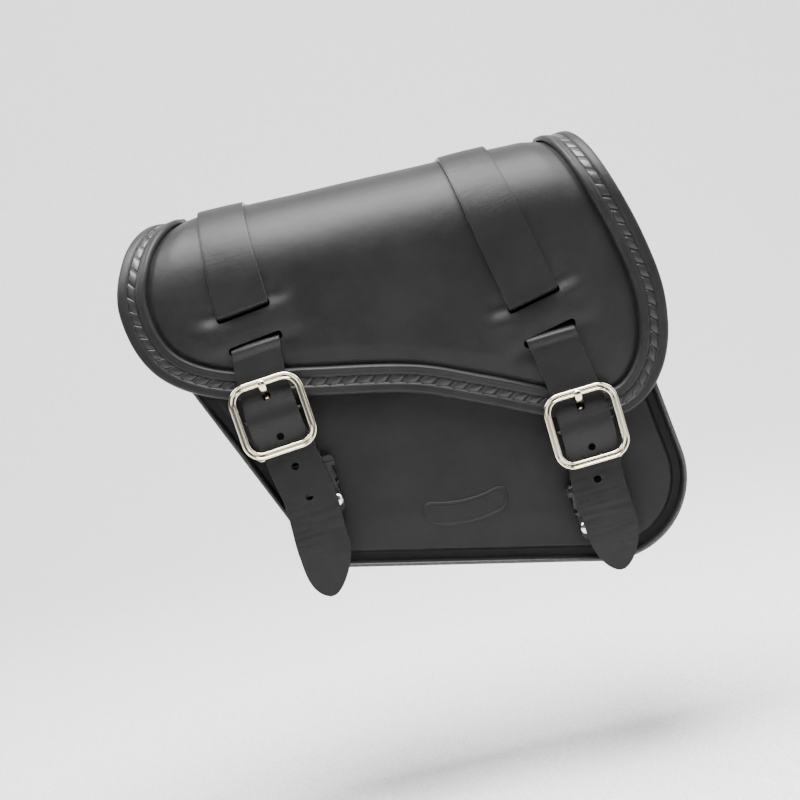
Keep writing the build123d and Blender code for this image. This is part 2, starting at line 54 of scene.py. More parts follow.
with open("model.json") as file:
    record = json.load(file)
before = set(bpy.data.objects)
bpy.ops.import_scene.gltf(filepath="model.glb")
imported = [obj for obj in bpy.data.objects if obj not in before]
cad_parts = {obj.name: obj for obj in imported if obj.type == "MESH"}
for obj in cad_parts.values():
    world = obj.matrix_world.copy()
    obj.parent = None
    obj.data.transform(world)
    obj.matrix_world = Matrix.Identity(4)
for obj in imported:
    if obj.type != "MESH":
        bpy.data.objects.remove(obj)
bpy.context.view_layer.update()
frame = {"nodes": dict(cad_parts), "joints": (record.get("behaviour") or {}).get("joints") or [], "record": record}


# ------------------------------------------------------------------ small geometry
def smoothstep(value: float, low: float, high: float) -> float:
    """A smooth rise from 0 at low to 1 at high.

    Args:
        value: Where to read the rise.
        low: Where it starts.
        high: Where it ends.

    Returns:
        A number from 0 to 1.
    """
    share = min(1.0, max(0.0, (value - low) / (high - low)))
    return share * share * (3 - 2 * share)


def bump_at(dx: float, dy: float, wide: float, tall: float) -> float:
    """A round swell of height 1 at its middle, for offsets and spreads in metres."""
    return math.exp(-0.5 * ((dx / wide) ** 2 + (dy / tall) ** 2))


def finder_of(points: Sequence[Vector]) -> KDTree:
    """A finder of the nearest of some points.

    Args:
        points: The points to look among.

    Returns:
        The finder, which gives each point its place in the list.
    """
    finder = KDTree(len(points))
    for index, spot in enumerate(points):
        finder.insert(spot, index)
    finder.balance()
    return finder


def heading(line: Sequence[Vector], share: float, gap: float) -> Vector:
    """The direction that a line runs in at a share of its length.

    Args:
        line: The line's points.
        share: Where along it.
        gap: The share on each side that the direction is taken over.

    Returns:
        The direction, of unit length.
    """
    return (along(line, share + gap) - along(line, share - gap)).normalized()


def smooth_line(points: Sequence[Vector], step: float) -> list[Vector]:
    """A smooth line through points, sampled evenly.

    Args:
        points: The points that the line goes through, in order.
        step: Distance between samples.

    Returns:
        The samples, the last point included.
    """
    count = len(points)
    fine: list[Vector] = []
    for index in range(count - 1):
        here, there = points[index], points[index + 1]
        before = points[index - 1] if index else here
        after = points[index + 2] if index + 2 < count else there
        reach = (there - here).length / 3
        leave = (there - before).normalized() * reach
        arrive = (after - here).normalized() * reach
        fine += interpolate_bezier(here, here + leave, there - arrive, there, 24)[:-1]
    fine.append(points[-1])
    return even(fine, step)


def even(line: Sequence[Vector], step: float) -> list[Vector]:
    """The same line with its points an even distance apart.

    Args:
        line: Points close together along a line.
        step: About how far apart the new points are.

    Returns:
        The new points, both ends included.
    """
    lengths = [0.0]
    for a, b in zip(line, line[1:]):
        lengths.append(lengths[-1] + (b - a).length)
    count = max(2, round(lengths[-1] / step))
    spaced: list[Vector] = []
    at = 0
    for index in range(count + 1):
        target = lengths[-1] * index / count
        while at < len(line) - 2 and lengths[at + 1] < target:
            at += 1
        span = lengths[at + 1] - lengths[at]
        spaced.append(line[at].lerp(line[at + 1], (target - lengths[at]) / span if span else 0.0))
    return spaced


def along(line: Sequence[Vector], share: float) -> Vector:
    """The point at a share of an evenly sampled line, from 0 to 1."""
    at = min(1.0, max(0.0, share)) * (len(line) - 1)
    low = min(int(at), len(line) - 2)
    return line[low].lerp(line[low + 1], at - low)


def profile(keys: Sequence[tuple[float, float]], at: float) -> float:
    """A smooth height read from a few keys.

    Args:
        keys: Pairs of place and height, the places rising.
        at: The place to read.

    Returns:
        The height there.
    """
    if at <= keys[0][0]:
        return keys[0][1]
    for (a, low), (b, high) in zip(keys, keys[1:]):
        if at <= b:
            return low + (high - low) * smoothstep(at, a, b)
    return keys[-1][1]


# ------------------------------------------------------------------ finishes
class Coat(Enum):
    """How a leather's surface is dressed."""

    MATTE = "matte"
    SATIN = "satin"


class Brush:
    """A material's node tree with short ways to add nodes to it."""

    def __init__(self, name: str) -> None:
        """Starts a material with that name, holding only its shader."""
        self.material: Material = bpy.data.materials.new(name)
        self.material.use_nodes = True
        self.tree: ShaderNodeTree = self.material.node_tree
        self.shader: ShaderNode = self.tree.nodes["Principled BSDF"]

    def node(self, kind: str, **values: object) -> ShaderNode:
        """Adds a node and sets its inputs or properties by name.

        Args:
            kind: Blender's name of the node type.
            **values: Inputs, or properties where no input has that name.

        Returns:
            The new node.
        """
        made = self.tree.nodes.new(kind)
        for key, value in values.items():
            socket = made.inputs.get(key.replace("_", " ").title())
            if socket is not None:
                socket.default_value = value
            else:
                setattr(made, key, value)
        return made

    def join(self, source: ShaderNode, output: str, target: ShaderNode, socket: str) -> None:
        """Links an output to an input."""
        self.tree.links.new(source.outputs[output], target.inputs[socket])

    def ramp(self, source: ShaderNode, output: str, low: tuple, high: tuple,
             start: float = 0.35, end: float = 0.65) -> ShaderNode:
        """A colour ramp between two colours, driven by a pattern.

        Args:
            source: The pattern's node.
            output: Its output.
            low: Colour below start.
            high: Colour above end.
            start: Pattern value where the change starts.
            end: Pattern value where it ends.

        Returns:
            The ramp's node.
        """
        made = self.node("ShaderNodeValToRGB")
        elements = made.color_ramp.elements
        elements[0].position, elements[1].position = start, end
        elements[0].color, elements[1].color = (*low, 1.0), (*high, 1.0)
        self.join(source, output, made, "Fac")
        return made

    def relief(self, height: ShaderNode, output: str, depth: float,
               below: Optional[ShaderNode]) -> ShaderNode:
        """A bump of a given depth on top of another.

        Args:
            height: The pattern's node.
            output: Its output.
            depth: How deep the pattern is, in metres.
            below: The bump under this one.

        Returns:
            The bump's node.
        """
        made = self.node("ShaderNodeBump", Strength=1.0, Distance=depth)
        self.join(height, output, made, "Height")
        if below is not None:
            self.join(below, "Normal", made, "Normal")
        return made


@dataclass(frozen=True)
class Leather:
    """Full-grain cowhide, dyed black and dressed."""

    name: str
    shade: float
    coat: Coat = Coat.SATIN
    creased: float = 0.0
    grain: float = 0.00006

    def build(self) -> Material:
        """The leather's material: blotchy dye, fine grain, pores and, on straps, cross creases."""
        brush = Brush(self.name)
        place = brush.node("ShaderNodeTexCoord")
        dye = brush.node("ShaderNodeTexNoise", Scale=28.0, Detail=5.0, Roughness=0.62)
        brush.join(place, "Object", dye, "Vector")
        dark = (self.shade * 0.82, self.shade * 0.82, self.shade * 0.85)
        light = (self.shade * 1.22, self.shade * 1.2, self.shade * 1.2)
        colour = brush.ramp(dye, "Fac", dark, light)
        brush.join(colour, "Color", brush.shader, "Base Color")
        rough = {Coat.MATTE: 0.58, Coat.SATIN: 0.44}[self.coat]
        worn = brush.node("ShaderNodeMapRange")
        worn.inputs["To Min"].default_value = rough - 0.05
        worn.inputs["To Max"].default_value = rough + 0.07
        brush.join(dye, "Fac", worn, "Value")
        brush.join(worn, "Result", brush.shader, "Roughness")
        brush.shader.inputs["Specular IOR Level"].default_value = 0.24
        cells = brush.node("ShaderNodeTexVoronoi", Scale=1150.0)
        cells.feature = "DISTANCE_TO_EDGE"
        brush.join(place, "Object", cells, "Vector")
        bump = brush.relief(cells, "Distance", self.grain * 2.0, None)
        pores = brush.node("ShaderNodeTexNoise", Scale=2100.0, Detail=3.0)
        brush.join(place, "Object", pores, "Vector")
        bump = brush.relief(pores, "Fac", self.grain, bump)
        drape = brush.node("ShaderNodeTexNoise", Scale=60.0, Detail=2.0)
        brush.join(place, "Object", drape, "Vector")
        bump = brush.relief(drape, "Fac", 0.00035, bump)
        if self.creased:
            bump = self.creases(brush, place, bump)
        brush.join(bump, "Normal", brush.shader, "Normal")
        return brush.material

    def creases(self, brush: Brush, place: ShaderNode, below: ShaderNode) -> ShaderNode:
        """Fine creases across a strap, which follow its own length.

        Args:
            brush: The material being made.
            place: Its coordinate node.
            below: The bump under the creases.

        Returns:
            The last bump's node.
        """
        stretch = brush.node("ShaderNodeMapping")
        stretch.inputs["Scale"].default_value = (1.3, 95.0, 1.0)
        brush.join(place, "UV", stretch, "Vector")
        lines = brush.node("ShaderNodeTexNoise", Scale=1.0, Detail=4.0, Roughness=0.7)
        brush.join(stretch, "Vector", lines, "Vector")
        return brush.relief(lines, "Fac", self.creased, below)


@dataclass(frozen=True)
class CutEdge:
    """The burnished cut edge of a leather piece."""

    name: str
    shade: float = 0.05

    def build(self) -> Material:
        """The edge's material: a little lighter and shinier than the face, with fine fibres; the lighter colour is
        partly the edge's own, partly painted highlight.
        """
        brush = Brush(self.name)
        place = brush.node("ShaderNodeTexCoord")
        fibre = brush.node("ShaderNodeTexNoise", Scale=520.0, Detail=4.0)
        brush.join(place, "Object", fibre, "Vector")
        low = (self.shade * 0.7,) * 3
        high = (self.shade * 1.35, self.shade * 1.3, self.shade * 1.25)
        colour = brush.ramp(fibre, "Fac", low, high)
        brush.join(colour, "Color", brush.shader, "Base Color")
        brush.shader.inputs["Roughness"].default_value = 0.34
        brush.join(brush.relief(fibre, "Fac", 0.00008, None), "Normal", brush.shader, "Normal")
        return brush.material


@dataclass(frozen=True)
class Metal:
    """Plated metal."""

    name: str
    tint: tuple[float, float, float]
    rough: float

    def build(self) -> Material:
        """The metal's material, with polishing marks in its roughness and a faint ripple."""
        brush = Brush(self.name)
        place = brush.node("ShaderNodeTexCoord")
        wipe = brush.node("ShaderNodeTexNoise", Scale=900.0, Detail=4.0, Roughness=0.6)
        brush.join(place, "Object", wipe, "Vector")
        tint = brush.ramp(wipe, "Fac", tuple(0.93 * c for c in self.tint), self.tint)
        brush.join(tint, "Color", brush.shader, "Base Color")
        spread = brush.node("ShaderNodeMapRange")
        spread.inputs["To Min"].default_value = self.rough * 0.7
        spread.inputs["To Max"].default_value = self.rough * 1.5
        brush.join(wipe, "Fac", spread, "Value")
        brush.join(spread, "Result", brush.shader, "Roughness")
        brush.shader.inputs["Metallic"].default_value = 1.0
        brush.join(brush.relief(wipe, "Fac", 0.000004, None), "Normal", brush.shader, "Normal")
        return brush.material


@dataclass(frozen=True)
class Moulded:
    """Plastic, board, lace, thread or paper: one shade, with a fine texture."""

    name: str
    shade: float
    rough: float
    texture: float = 900.0
    depth: float = 0.00003

    def build(self) -> Material:
        """The material, with a fine texture in colour and relief."""
        brush = Brush(self.name)
        place = brush.node("ShaderNodeTexCoord")
        speck = brush.node("ShaderNodeTexNoise", Scale=self.texture, Detail=3.0)
        brush.join(place, "Object", speck, "Vector")
        colour = brush.ramp(speck, "Fac", (self.shade * 0.85,) * 3, (self.shade * 1.2,) * 3)
        brush.join(colour, "Color", brush.shader, "Base Color")
        brush.shader.inputs["Roughness"].default_value = self.rough
        brush.join(brush.relief(speck, "Fac", self.depth, None), "Normal", brush.shader, "Normal")
        return brush.material


@dataclass
class Finishes:
    """Every finish on the bag, made once."""

    flap: Material = field(default_factory=lambda: Leather("flap_leather", 0.011).build())
    border: Material = field(default_factory=lambda: Leather("border_leather", 0.012).build())
    panel: Material = field(default_factory=lambda: Leather("panel_leather", 0.010, Coat.MATTE).build())
    body: Material = field(default_factory=lambda: Leather("body_leather", 0.011, Coat.MATTE).build())
    strap: Material = field(
        default_factory=lambda: Leather("strap_leather", 0.010, Coat.SATIN, 0.00013).build())
    # Cut edges a few times lighter than the faces: partly their own colour, partly painted highlight along the
    # edges.
    edge: Material = field(default_factory=lambda: CutEdge("cut_edge").build())
    # Lighter edge material for the strip's rounded edges and the welts: partly their burnished edge, partly
    # painted highlight where the ridges catch the light.
    bead: Material = field(default_factory=lambda: CutEdge("bead_with_painted_highlight", 0.035).build())
    # Near-black matte leather for the front panel's groove band: painted shade in the recess between welt and
    # panel.
    groove: Material = field(
        default_factory=lambda: Leather("groove_painted_shade", 0.004, Coat.MATTE).build())
    nickel: Material = field(default_factory=lambda: Metal("nickel", (0.84, 0.76, 0.60), 0.16).build())
    rivet: Material = field(default_factory=lambda: Metal("rivet_nickel", (0.82, 0.80, 0.76), 0.2).build())
    steel: Material = field(default_factory=lambda: Metal("plated_steel", (0.55, 0.55, 0.56), 0.32).build())
    # Near-black metal for the centre bar and its lugs: painted shade that keeps them dark behind the strap.
    painted_bar_shade: Material = field(default_factory=lambda: Metal("bar_painted_shade", (0.05, 0.05, 0.05), 0.4).build())
    plastic: Material = field(
        default_factory=lambda: Moulded("clip_acetal", 0.01, 0.3, 300.0, 0.000004).build())
    board: Material = field(default_factory=lambda: Moulded("stiffener_board", 0.03, 0.7).build())
    lace: Material = field(
        default_factory=lambda: Moulded("lace_leather", 0.016, 0.36, 1400.0, 0.00008).build())
    thread: Material = field(
        default_factory=lambda: Moulded("waxed_thread", 0.02, 0.45, 1800.0, 0.0001).build())
    # Near-black blobs in the lace holes: painted shade inside holes that are not cut.
    hole: Material = field(default_factory=lambda: Moulded("hole_painted_shade", 0.002, 0.9).build())


# ------------------------------------------------------------------ bench: making pieces
def alone() -> None:
    """Deselects everything, so that an operator acts only on what is made next."""
    if bpy.context.object is not None and bpy.context.object.mode != "OBJECT":
        bpy.ops.object.mode_set(mode="OBJECT")
    bpy.ops.object.select_all(action="DESELECT")


def named(name: str) -> Object:
    """The piece just made, with its name set."""
    piece = bpy.context.object
    piece.name = name
    piece.data.name = name
    return piece


def pick(piece: Object) -> None:
    """Makes a piece the only one selected, and active."""
    alone()
    piece.select_set(True)
    bpy.context.view_layer.objects.active = piece


def apply_modifier(piece: Object, kind: str, **values: object) -> None:
    """Adds a modifier to a piece, sets it and applies it.

    Args:
        piece: The piece.
        kind: Blender's name of the modifier type.
        **values: The modifier's properties.
    """
    pick(piece)
    made = piece.modifiers.new(kind.title(), kind)
    for key, value in values.items():
        setattr(made, key, value)
    bpy.ops.object.modifier_apply(modifier=made.name)


def sheet_on(name: str, across: int, length: int, place: Callable[[float, float], Vector]) -> Object:
    """A grid laid on a surface.

    Args:
        name: The piece's name.
        across: Cells along the first direction.
        length: Cells along the second.
        place: Where a point of the unit square lies.

    Returns:
        The piece, one face thick.
    """
    alone()
    bpy.ops.mesh.primitive_grid_add(x_subdivisions=across, y_subdivisions=length, size=2.0)
    piece = named(name)
    for vertex in piece.data.vertices:
        vertex.co = place((vertex.co.x + 1) / 2, (vertex.co.y + 1) / 2)
    return piece


def give_wall(piece: Object, wall: float, face: Material, rim: Material, round_edge: float) -> None:
    """Turns a sheet into leather of a thickness, with rounded cut edges.

    Args:
        piece: The sheet, its faces outwards.
        wall: The leather's thickness.
        face: Material of both faces.
        rim: Material of the cut edge.
        round_edge: Radius worked on to the cut edge.
    """
    piece.data.materials.append(face)
    piece.data.materials.append(rim)
    apply_modifier(piece, "SOLIDIFY", thickness=wall, offset=-1.0, material_offset_rim=1)
    if round_edge:
        apply_modifier(piece, "BEVEL", width=round_edge, segments=2, limit_method="ANGLE",
                       angle_limit=math.radians(50), use_clamp_overlap=True)
    smooth(piece)


def dress(piece: Object, finish: Material) -> None:
    """Gives a piece one material in place of what it has."""
    piece.data.materials.clear()
    piece.data.materials.append(finish)


def smooth(piece: Object, angle: float = 40.0) -> None:
    """Shades a piece smooth, apart from edges sharper than an angle."""
    pick(piece)
    bpy.ops.object.shade_smooth_by_angle(angle=math.radians(angle))


def tidy_normals(piece: Object) -> None:
    """Merges doubles and turns a piece's faces outwards."""
    pick(piece)
    bpy.ops.object.mode_set(mode="EDIT")
    bpy.ops.mesh.select_all(action="SELECT")
    bpy.ops.mesh.remove_doubles(threshold=1e-6)
    bpy.ops.mesh.normals_make_consistent(inside=False)
    bpy.ops.object.mode_set(mode="OBJECT")


def rod(name: str, place: Callable[[float], tuple[Vector, Vector, Vector]], size: tuple[float, float],
        square: float = 1.0, rings: int = 40, sides: int = 20) -> Object:
    """A round-ended bar along a path, drawn out of a sphere.

    Args:
        name: The piece's name.
        place: From a share of the length, the path's point and the two half axes' directions.
        size: Half sizes along those two directions.
        square: Below 1, how square the section is.
        rings: Rings along the bar.
        sides: Sides round it.

    Returns:
        The piece.
    """
    alone()
    bpy.ops.mesh.primitive_uv_sphere_add(segments=sides, ring_count=rings, radius=1.0)
    piece = named(name)
    for vertex in piece.data.vertices:
        share = math.acos(max(-1.0, min(1.0, -vertex.co.z))) / math.pi
        full = math.sin(math.pi * min(0.5, min(share, 1 - share) * 4)) ** 0.6
        turn = math.atan2(vertex.co.y, vertex.co.x)
        a = math.copysign(abs(math.cos(turn)) ** square, math.cos(turn))
        b = math.copysign(abs(math.sin(turn)) ** square, math.sin(turn))
        middle, first, second = place(share)
        vertex.co = middle + first * (a * size[0] * full) + second * (b * size[1] * full)
    tidy_normals(piece)
    smooth(piece, 60)
    return piece


def ring(name: str, place: Callable[[float, float], Vector], major: int, minor: int) -> Object:
    """A closed ring of any section, drawn out of a torus.

    Args:
        name: The piece's name.
        place: Where a point lies, from shares of the way round the ring and round its section.
        major: Steps round the ring.
        minor: Steps round the section.

    Returns:
        The piece.
    """
    alone()
    bpy.ops.mesh.primitive_torus_add(major_segments=major, minor_segments=minor, major_radius=1.0,
                                     minor_radius=0.25)
    piece = named(name)
    for vertex in piece.data.vertices:
        spot = vertex.co
        round_ring = math.atan2(spot.y, spot.x) / math.tau % 1.0
        radial = math.hypot(spot.x, spot.y) - 1.0
        round_section = math.atan2(spot.z, radial) / math.tau % 1.0
        vertex.co = place(round_ring, round_section)
    tidy_normals(piece)
    smooth(piece, 60)
    return piece


def block(name: str, size: Vector, edge: float) -> Object:
    """A small cushion-edged block about the origin.

    Args:
        name: The piece's name.
        size: Its full sizes.
        edge: Radius of its edges.

    Returns:
        The piece.
    """
    alone()
    bpy.ops.mesh.primitive_cube_add(size=1.0)
    piece = named(name)
    for vertex in piece.data.vertices:
        vertex.co = Vector(a * b for a, b in zip(vertex.co, size))
    apply_modifier(piece, "BEVEL", width=edge, segments=2, limit_method="NONE")
    return piece


def carve(piece: Object, cutter: Object) -> None:
    """Cuts one closed piece out of another, and throws the cutter away."""
    apply_modifier(piece, "BOOLEAN", operation="DIFFERENCE", object=cutter, solver="EXACT")
    bpy.data.objects.remove(cutter)


def joined(name: str, pieces: Sequence[Object]) -> Object:
    """Several pieces made one.

    Args:
        name: The new piece's name.
        pieces: The pieces, which are used up.

    Returns:
        The one piece.
    """
    alone()
    for piece in pieces:
        piece.select_set(True)
    bpy.context.view_layer.objects.active = pieces[0]
    bpy.ops.object.join()
    return named(name)


def repeated(name: str, pattern: Object, places: Iterable[Matrix]) -> Object:
    """Copies of a pattern piece at many places, as one piece.

    Args:
        name: The new piece's name.
        pattern: The piece to copy, about the origin; it is used up.
        places: Where each copy goes.

    Returns:
        The one piece.
    """
    copies = []
    for spot in places:
        copy = pattern.copy()
        copy.data = pattern.data.copy()
        copy.data.transform(spot)
        bpy.context.scene.collection.objects.link(copy)
        copies.append(copy)
    bpy.data.objects.remove(pattern)
    return joined(name, copies)


def finish_piece(piece: Object, body: str, slot: str, *nodes: str) -> Object:
    """Puts a piece on its body and hides the CAD nodes that it stands for.

    Args:
        piece: The finished piece.
        body: The body that it rides on.
        slot: The record's material slot; not used.
        *nodes: CAD nodes that it replaces.

    Returns:
        The piece.
    """
    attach(piece, body)
    if nodes:
        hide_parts(*nodes)
    LOG.info("%s on %s: %d faces", piece.name, body, len(piece.data.polygons))
    return piece


def coons(front: Sequence[Vector], back: Sequence[Vector], left: Sequence[Vector],
          right: Sequence[Vector]) -> Callable[[float, float], Vector]:
    """A patch between four lines that meet at their ends.

    Args:
        front: Line at v = 0, left to right.
        back: Line at v = 1, left to right.
        left: Line at u = 0, front to back.
        right: Line at u = 1, front to back.

    Returns:
        The patch, from u and v to a point.
    """
    def at(u: float, v: float) -> Vector:
        """The patch's point at u and v."""
        rails = along(front, u) * (1 - v) + along(back, u) * v
        sides = along(left, v) * (1 - u) + along(right, v) * u
        ends = (front[0] * (1 - u) + front[-1] * u) * (1 - v) + (back[0] * (1 - u) + back[-1] * u) * v
        return rails + sides - ends
    return at


# ------------------------------------------------------------------ the bag's own shapes
@dataclass(frozen=True)
class Roof:
    """The profile that the flap follows: up the back, over the top and down the front."""

    top: float
    out: float
    start: float
    back_radius: float = 20 * MM
    front_radius: float = 50 * MM

    @property
    def turn_in(self) -> float:
        """Length up the back to the first bend."""
        return self.top - self.back_radius - self.start

    @property
    def flat(self) -> float:
        """Length from the start to the flat top."""
        return self.turn_in + self.back_radius * math.pi / 2

    @property
    def roll(self) -> float:
        """Length from the start to the front bend."""
        return self.flat + self.out - self.back_radius - self.front_radius

    @property
    def face(self) -> float:
        """Length from the start to the straight front."""
        return self.roll + self.front_radius * math.pi / 2

    def at(self, x: float, s: float, lift: float = 0.0) -> Vector:
        """A point on the flap's outer face, or above it.

        Args:
            x: Place along the bag.
            s: Length along the profile from the rear end.
            lift: Height above the face.

        Returns:
            The point.
        """
        if s < self.turn_in:
            return Vector((x, lift, self.start + s))
        if s < self.flat:
            turn = (s - self.turn_in) / self.back_radius
            out = self.back_radius - (self.back_radius + lift) * math.cos(turn)
            return Vector((x, -out, self.top - self.back_radius + (self.back_radius + lift) * math.sin(turn)))
        if s < self.roll:
            return Vector((x, -(self.back_radius + s - self.flat), self.top + lift))
        centre = Vector((x, -(self.out - self.front_radius), self.top - self.front_radius))
        if s < self.face:
            turn = (s - self.roll) / self.front_radius
            reach = self.front_radius + lift
            return centre + Vector((0, -reach * math.sin(turn), reach * math.cos(turn)))
        return Vector((x, -(self.out + lift), centre.z - (s - self.face)))

    def length_at_drop(self, drop: float) -> float:
        """Length along the profile at a drop below the top, on the front side."""
        if drop < self.front_radius:
            return self.roll + self.front_radius * math.acos(1 - drop / self.front_radius)
        return self.face + drop - self.front_radius


@dataclass(frozen=True)
class Closure:
    """Where one strap, buckle and clip stand, read from the frame's joints."""

    side: str
    slot: Vector
    second: Vector
    top_lean: float
    tail: float
    punched: int
    sway: tuple
    top_half: float = 15.5 * MM

    @property
    def body(self) -> str:
        """The body that the lower strap rides on."""
        return f"closure_{self.side}"

    @property
    def pivot(self) -> dict:
        """The joint that the prong turns on, along the buckle's centre bar."""
        return next(j for j in frame["joints"] if j["name"] == f"prong_lift_{self.side}")

    @property
    def bar(self) -> Vector:
        """The middle of the buckle's centre bar."""
        return Vector(self.pivot["pos_m"])

    @property
    def lean(self) -> float:
        """The lower strap's lean, in radians."""
        axis = self.pivot["axis"]
        return math.atan2(axis[2], axis[0])

    def at(self, across: float, out: float, up: float) -> Vector:
        """A point given across the strap, out from the back face and up the strap."""
        c, s = math.cos(self.lean), math.sin(self.lean)
        bar = self.bar
        return Vector((bar.x + across * c - up * s, -out, bar.z + across * s + up * c))

    def seat(self, across: float, out: float, up: float) -> Matrix:
        """Place and turn of a thing that stands square on the strap, at a point given as in at."""
        return Matrix.Translation(self.at(across, out, up)) @ Matrix.Rotation(-self.lean, 4, "Y")

    def slots(self) -> tuple[Vector, Vector]:
        """The middles of the upper and the lower slot, as X and drop below the flap's top."""
        return self.slot, self.second

    def bridge_lean(self) -> float:
        """Lean of the line from one slot to the other."""
        way = self.second - self.slot
        return math.atan2(way.x, way.y)

    def leave(self, top: float) -> Vector:
        """Where the strap leaves the lower slot, as places across and up the strap.

        Args:
            top: Height of the flap's top.

        Returns:
            Across and up, from the centre bar.
        """
        dx, dz = self.second.x - self.bar.x, top - self.second.y - self.bar.z
        c, s = math.cos(self.lean), math.sin(self.lean)
        return Vector((dx * c + dz * s, dz * c - dx * s, 0))


@dataclass
class FlapShape:
    """The flap's outline laid flat, as X and length along the roof."""

    roof: Roof
    back_half: float = 113 * MM
    border: float = 17.5 * MM
    step: float = 1.0 * MM
    front: tuple = (
        (-166, 17), (-175, 52), (-162, 93), (-125, 118), (-67, 129.5), (0, 143), (40, 159), (100, 184),
        (138, 187), (165, 162), (175, 120), (169, 75), (152, 20),
    )
    lobe_left: Vector = field(default_factory=lambda: Vector((-150, 105, 0)) * MM)
    lobe_right: Vector = field(default_factory=lambda: Vector((159, 173, 0)) * MM)

    def __post_init__(self) -> None:
        """Works out the outline, its corners and a finder for distances from it."""
        roof = self.roof
        bend = roof.turn_in + 18.5 * MM
        points = [Vector((-self.back_half, 0, 0)), Vector((-self.back_half, bend, 0)),
                  Vector((-141 * MM, roof.flat + 19 * MM, 0)), Vector((-147 * MM, roof.roll, 0))]
        points += [Vector((x * MM, roof.length_at_drop(drop * MM), 0)) for x, drop in self.front]
        points += [Vector((140 * MM, roof.roll, 0)), Vector((136 * MM, roof.flat + 14 * MM, 0)),
                   Vector((self.back_half, bend, 0)), Vector((self.back_half, 0, 0))]
        self.edge = smooth_line(points, self.step)
        self.finder = finder_of(self.edge)

    def corner(self, near: Vector) -> int:
        """Index of the outline's point nearest to a place given as X and drop."""
        spot = Vector((near.x, self.roof.length_at_drop(near.y), 0))
        return self.finder.find(spot)[1]

    def from_edge(self, spot: Vector) -> float:
        """Distance of a flat point from the outline."""
        return self.finder.find(Vector((spot.x, spot.y, 0)))[2]

    def patch(self) -> Callable[[float, float], Vector]:
        """The flat blank as a patch, its front edge at v = 0 and its rear end at v = 1."""
        low, high = self.corner(self.lobe_left), self.corner(self.lobe_right)
        left = even(list(reversed(self.edge[:low + 1])), self.step)
        right = even(self.edge[high:], self.step)
        front = even(self.edge[low:high + 1], self.step)
        back = even([self.edge[0], self.edge[-1]], self.step)
        return coons(front, back, left, right)

    def rim(self, behind: float) -> list[Vector]:
        """The part of the outline in front of a length along the roof."""
        return even([spot for spot in self.edge if spot.y > behind], self.step)


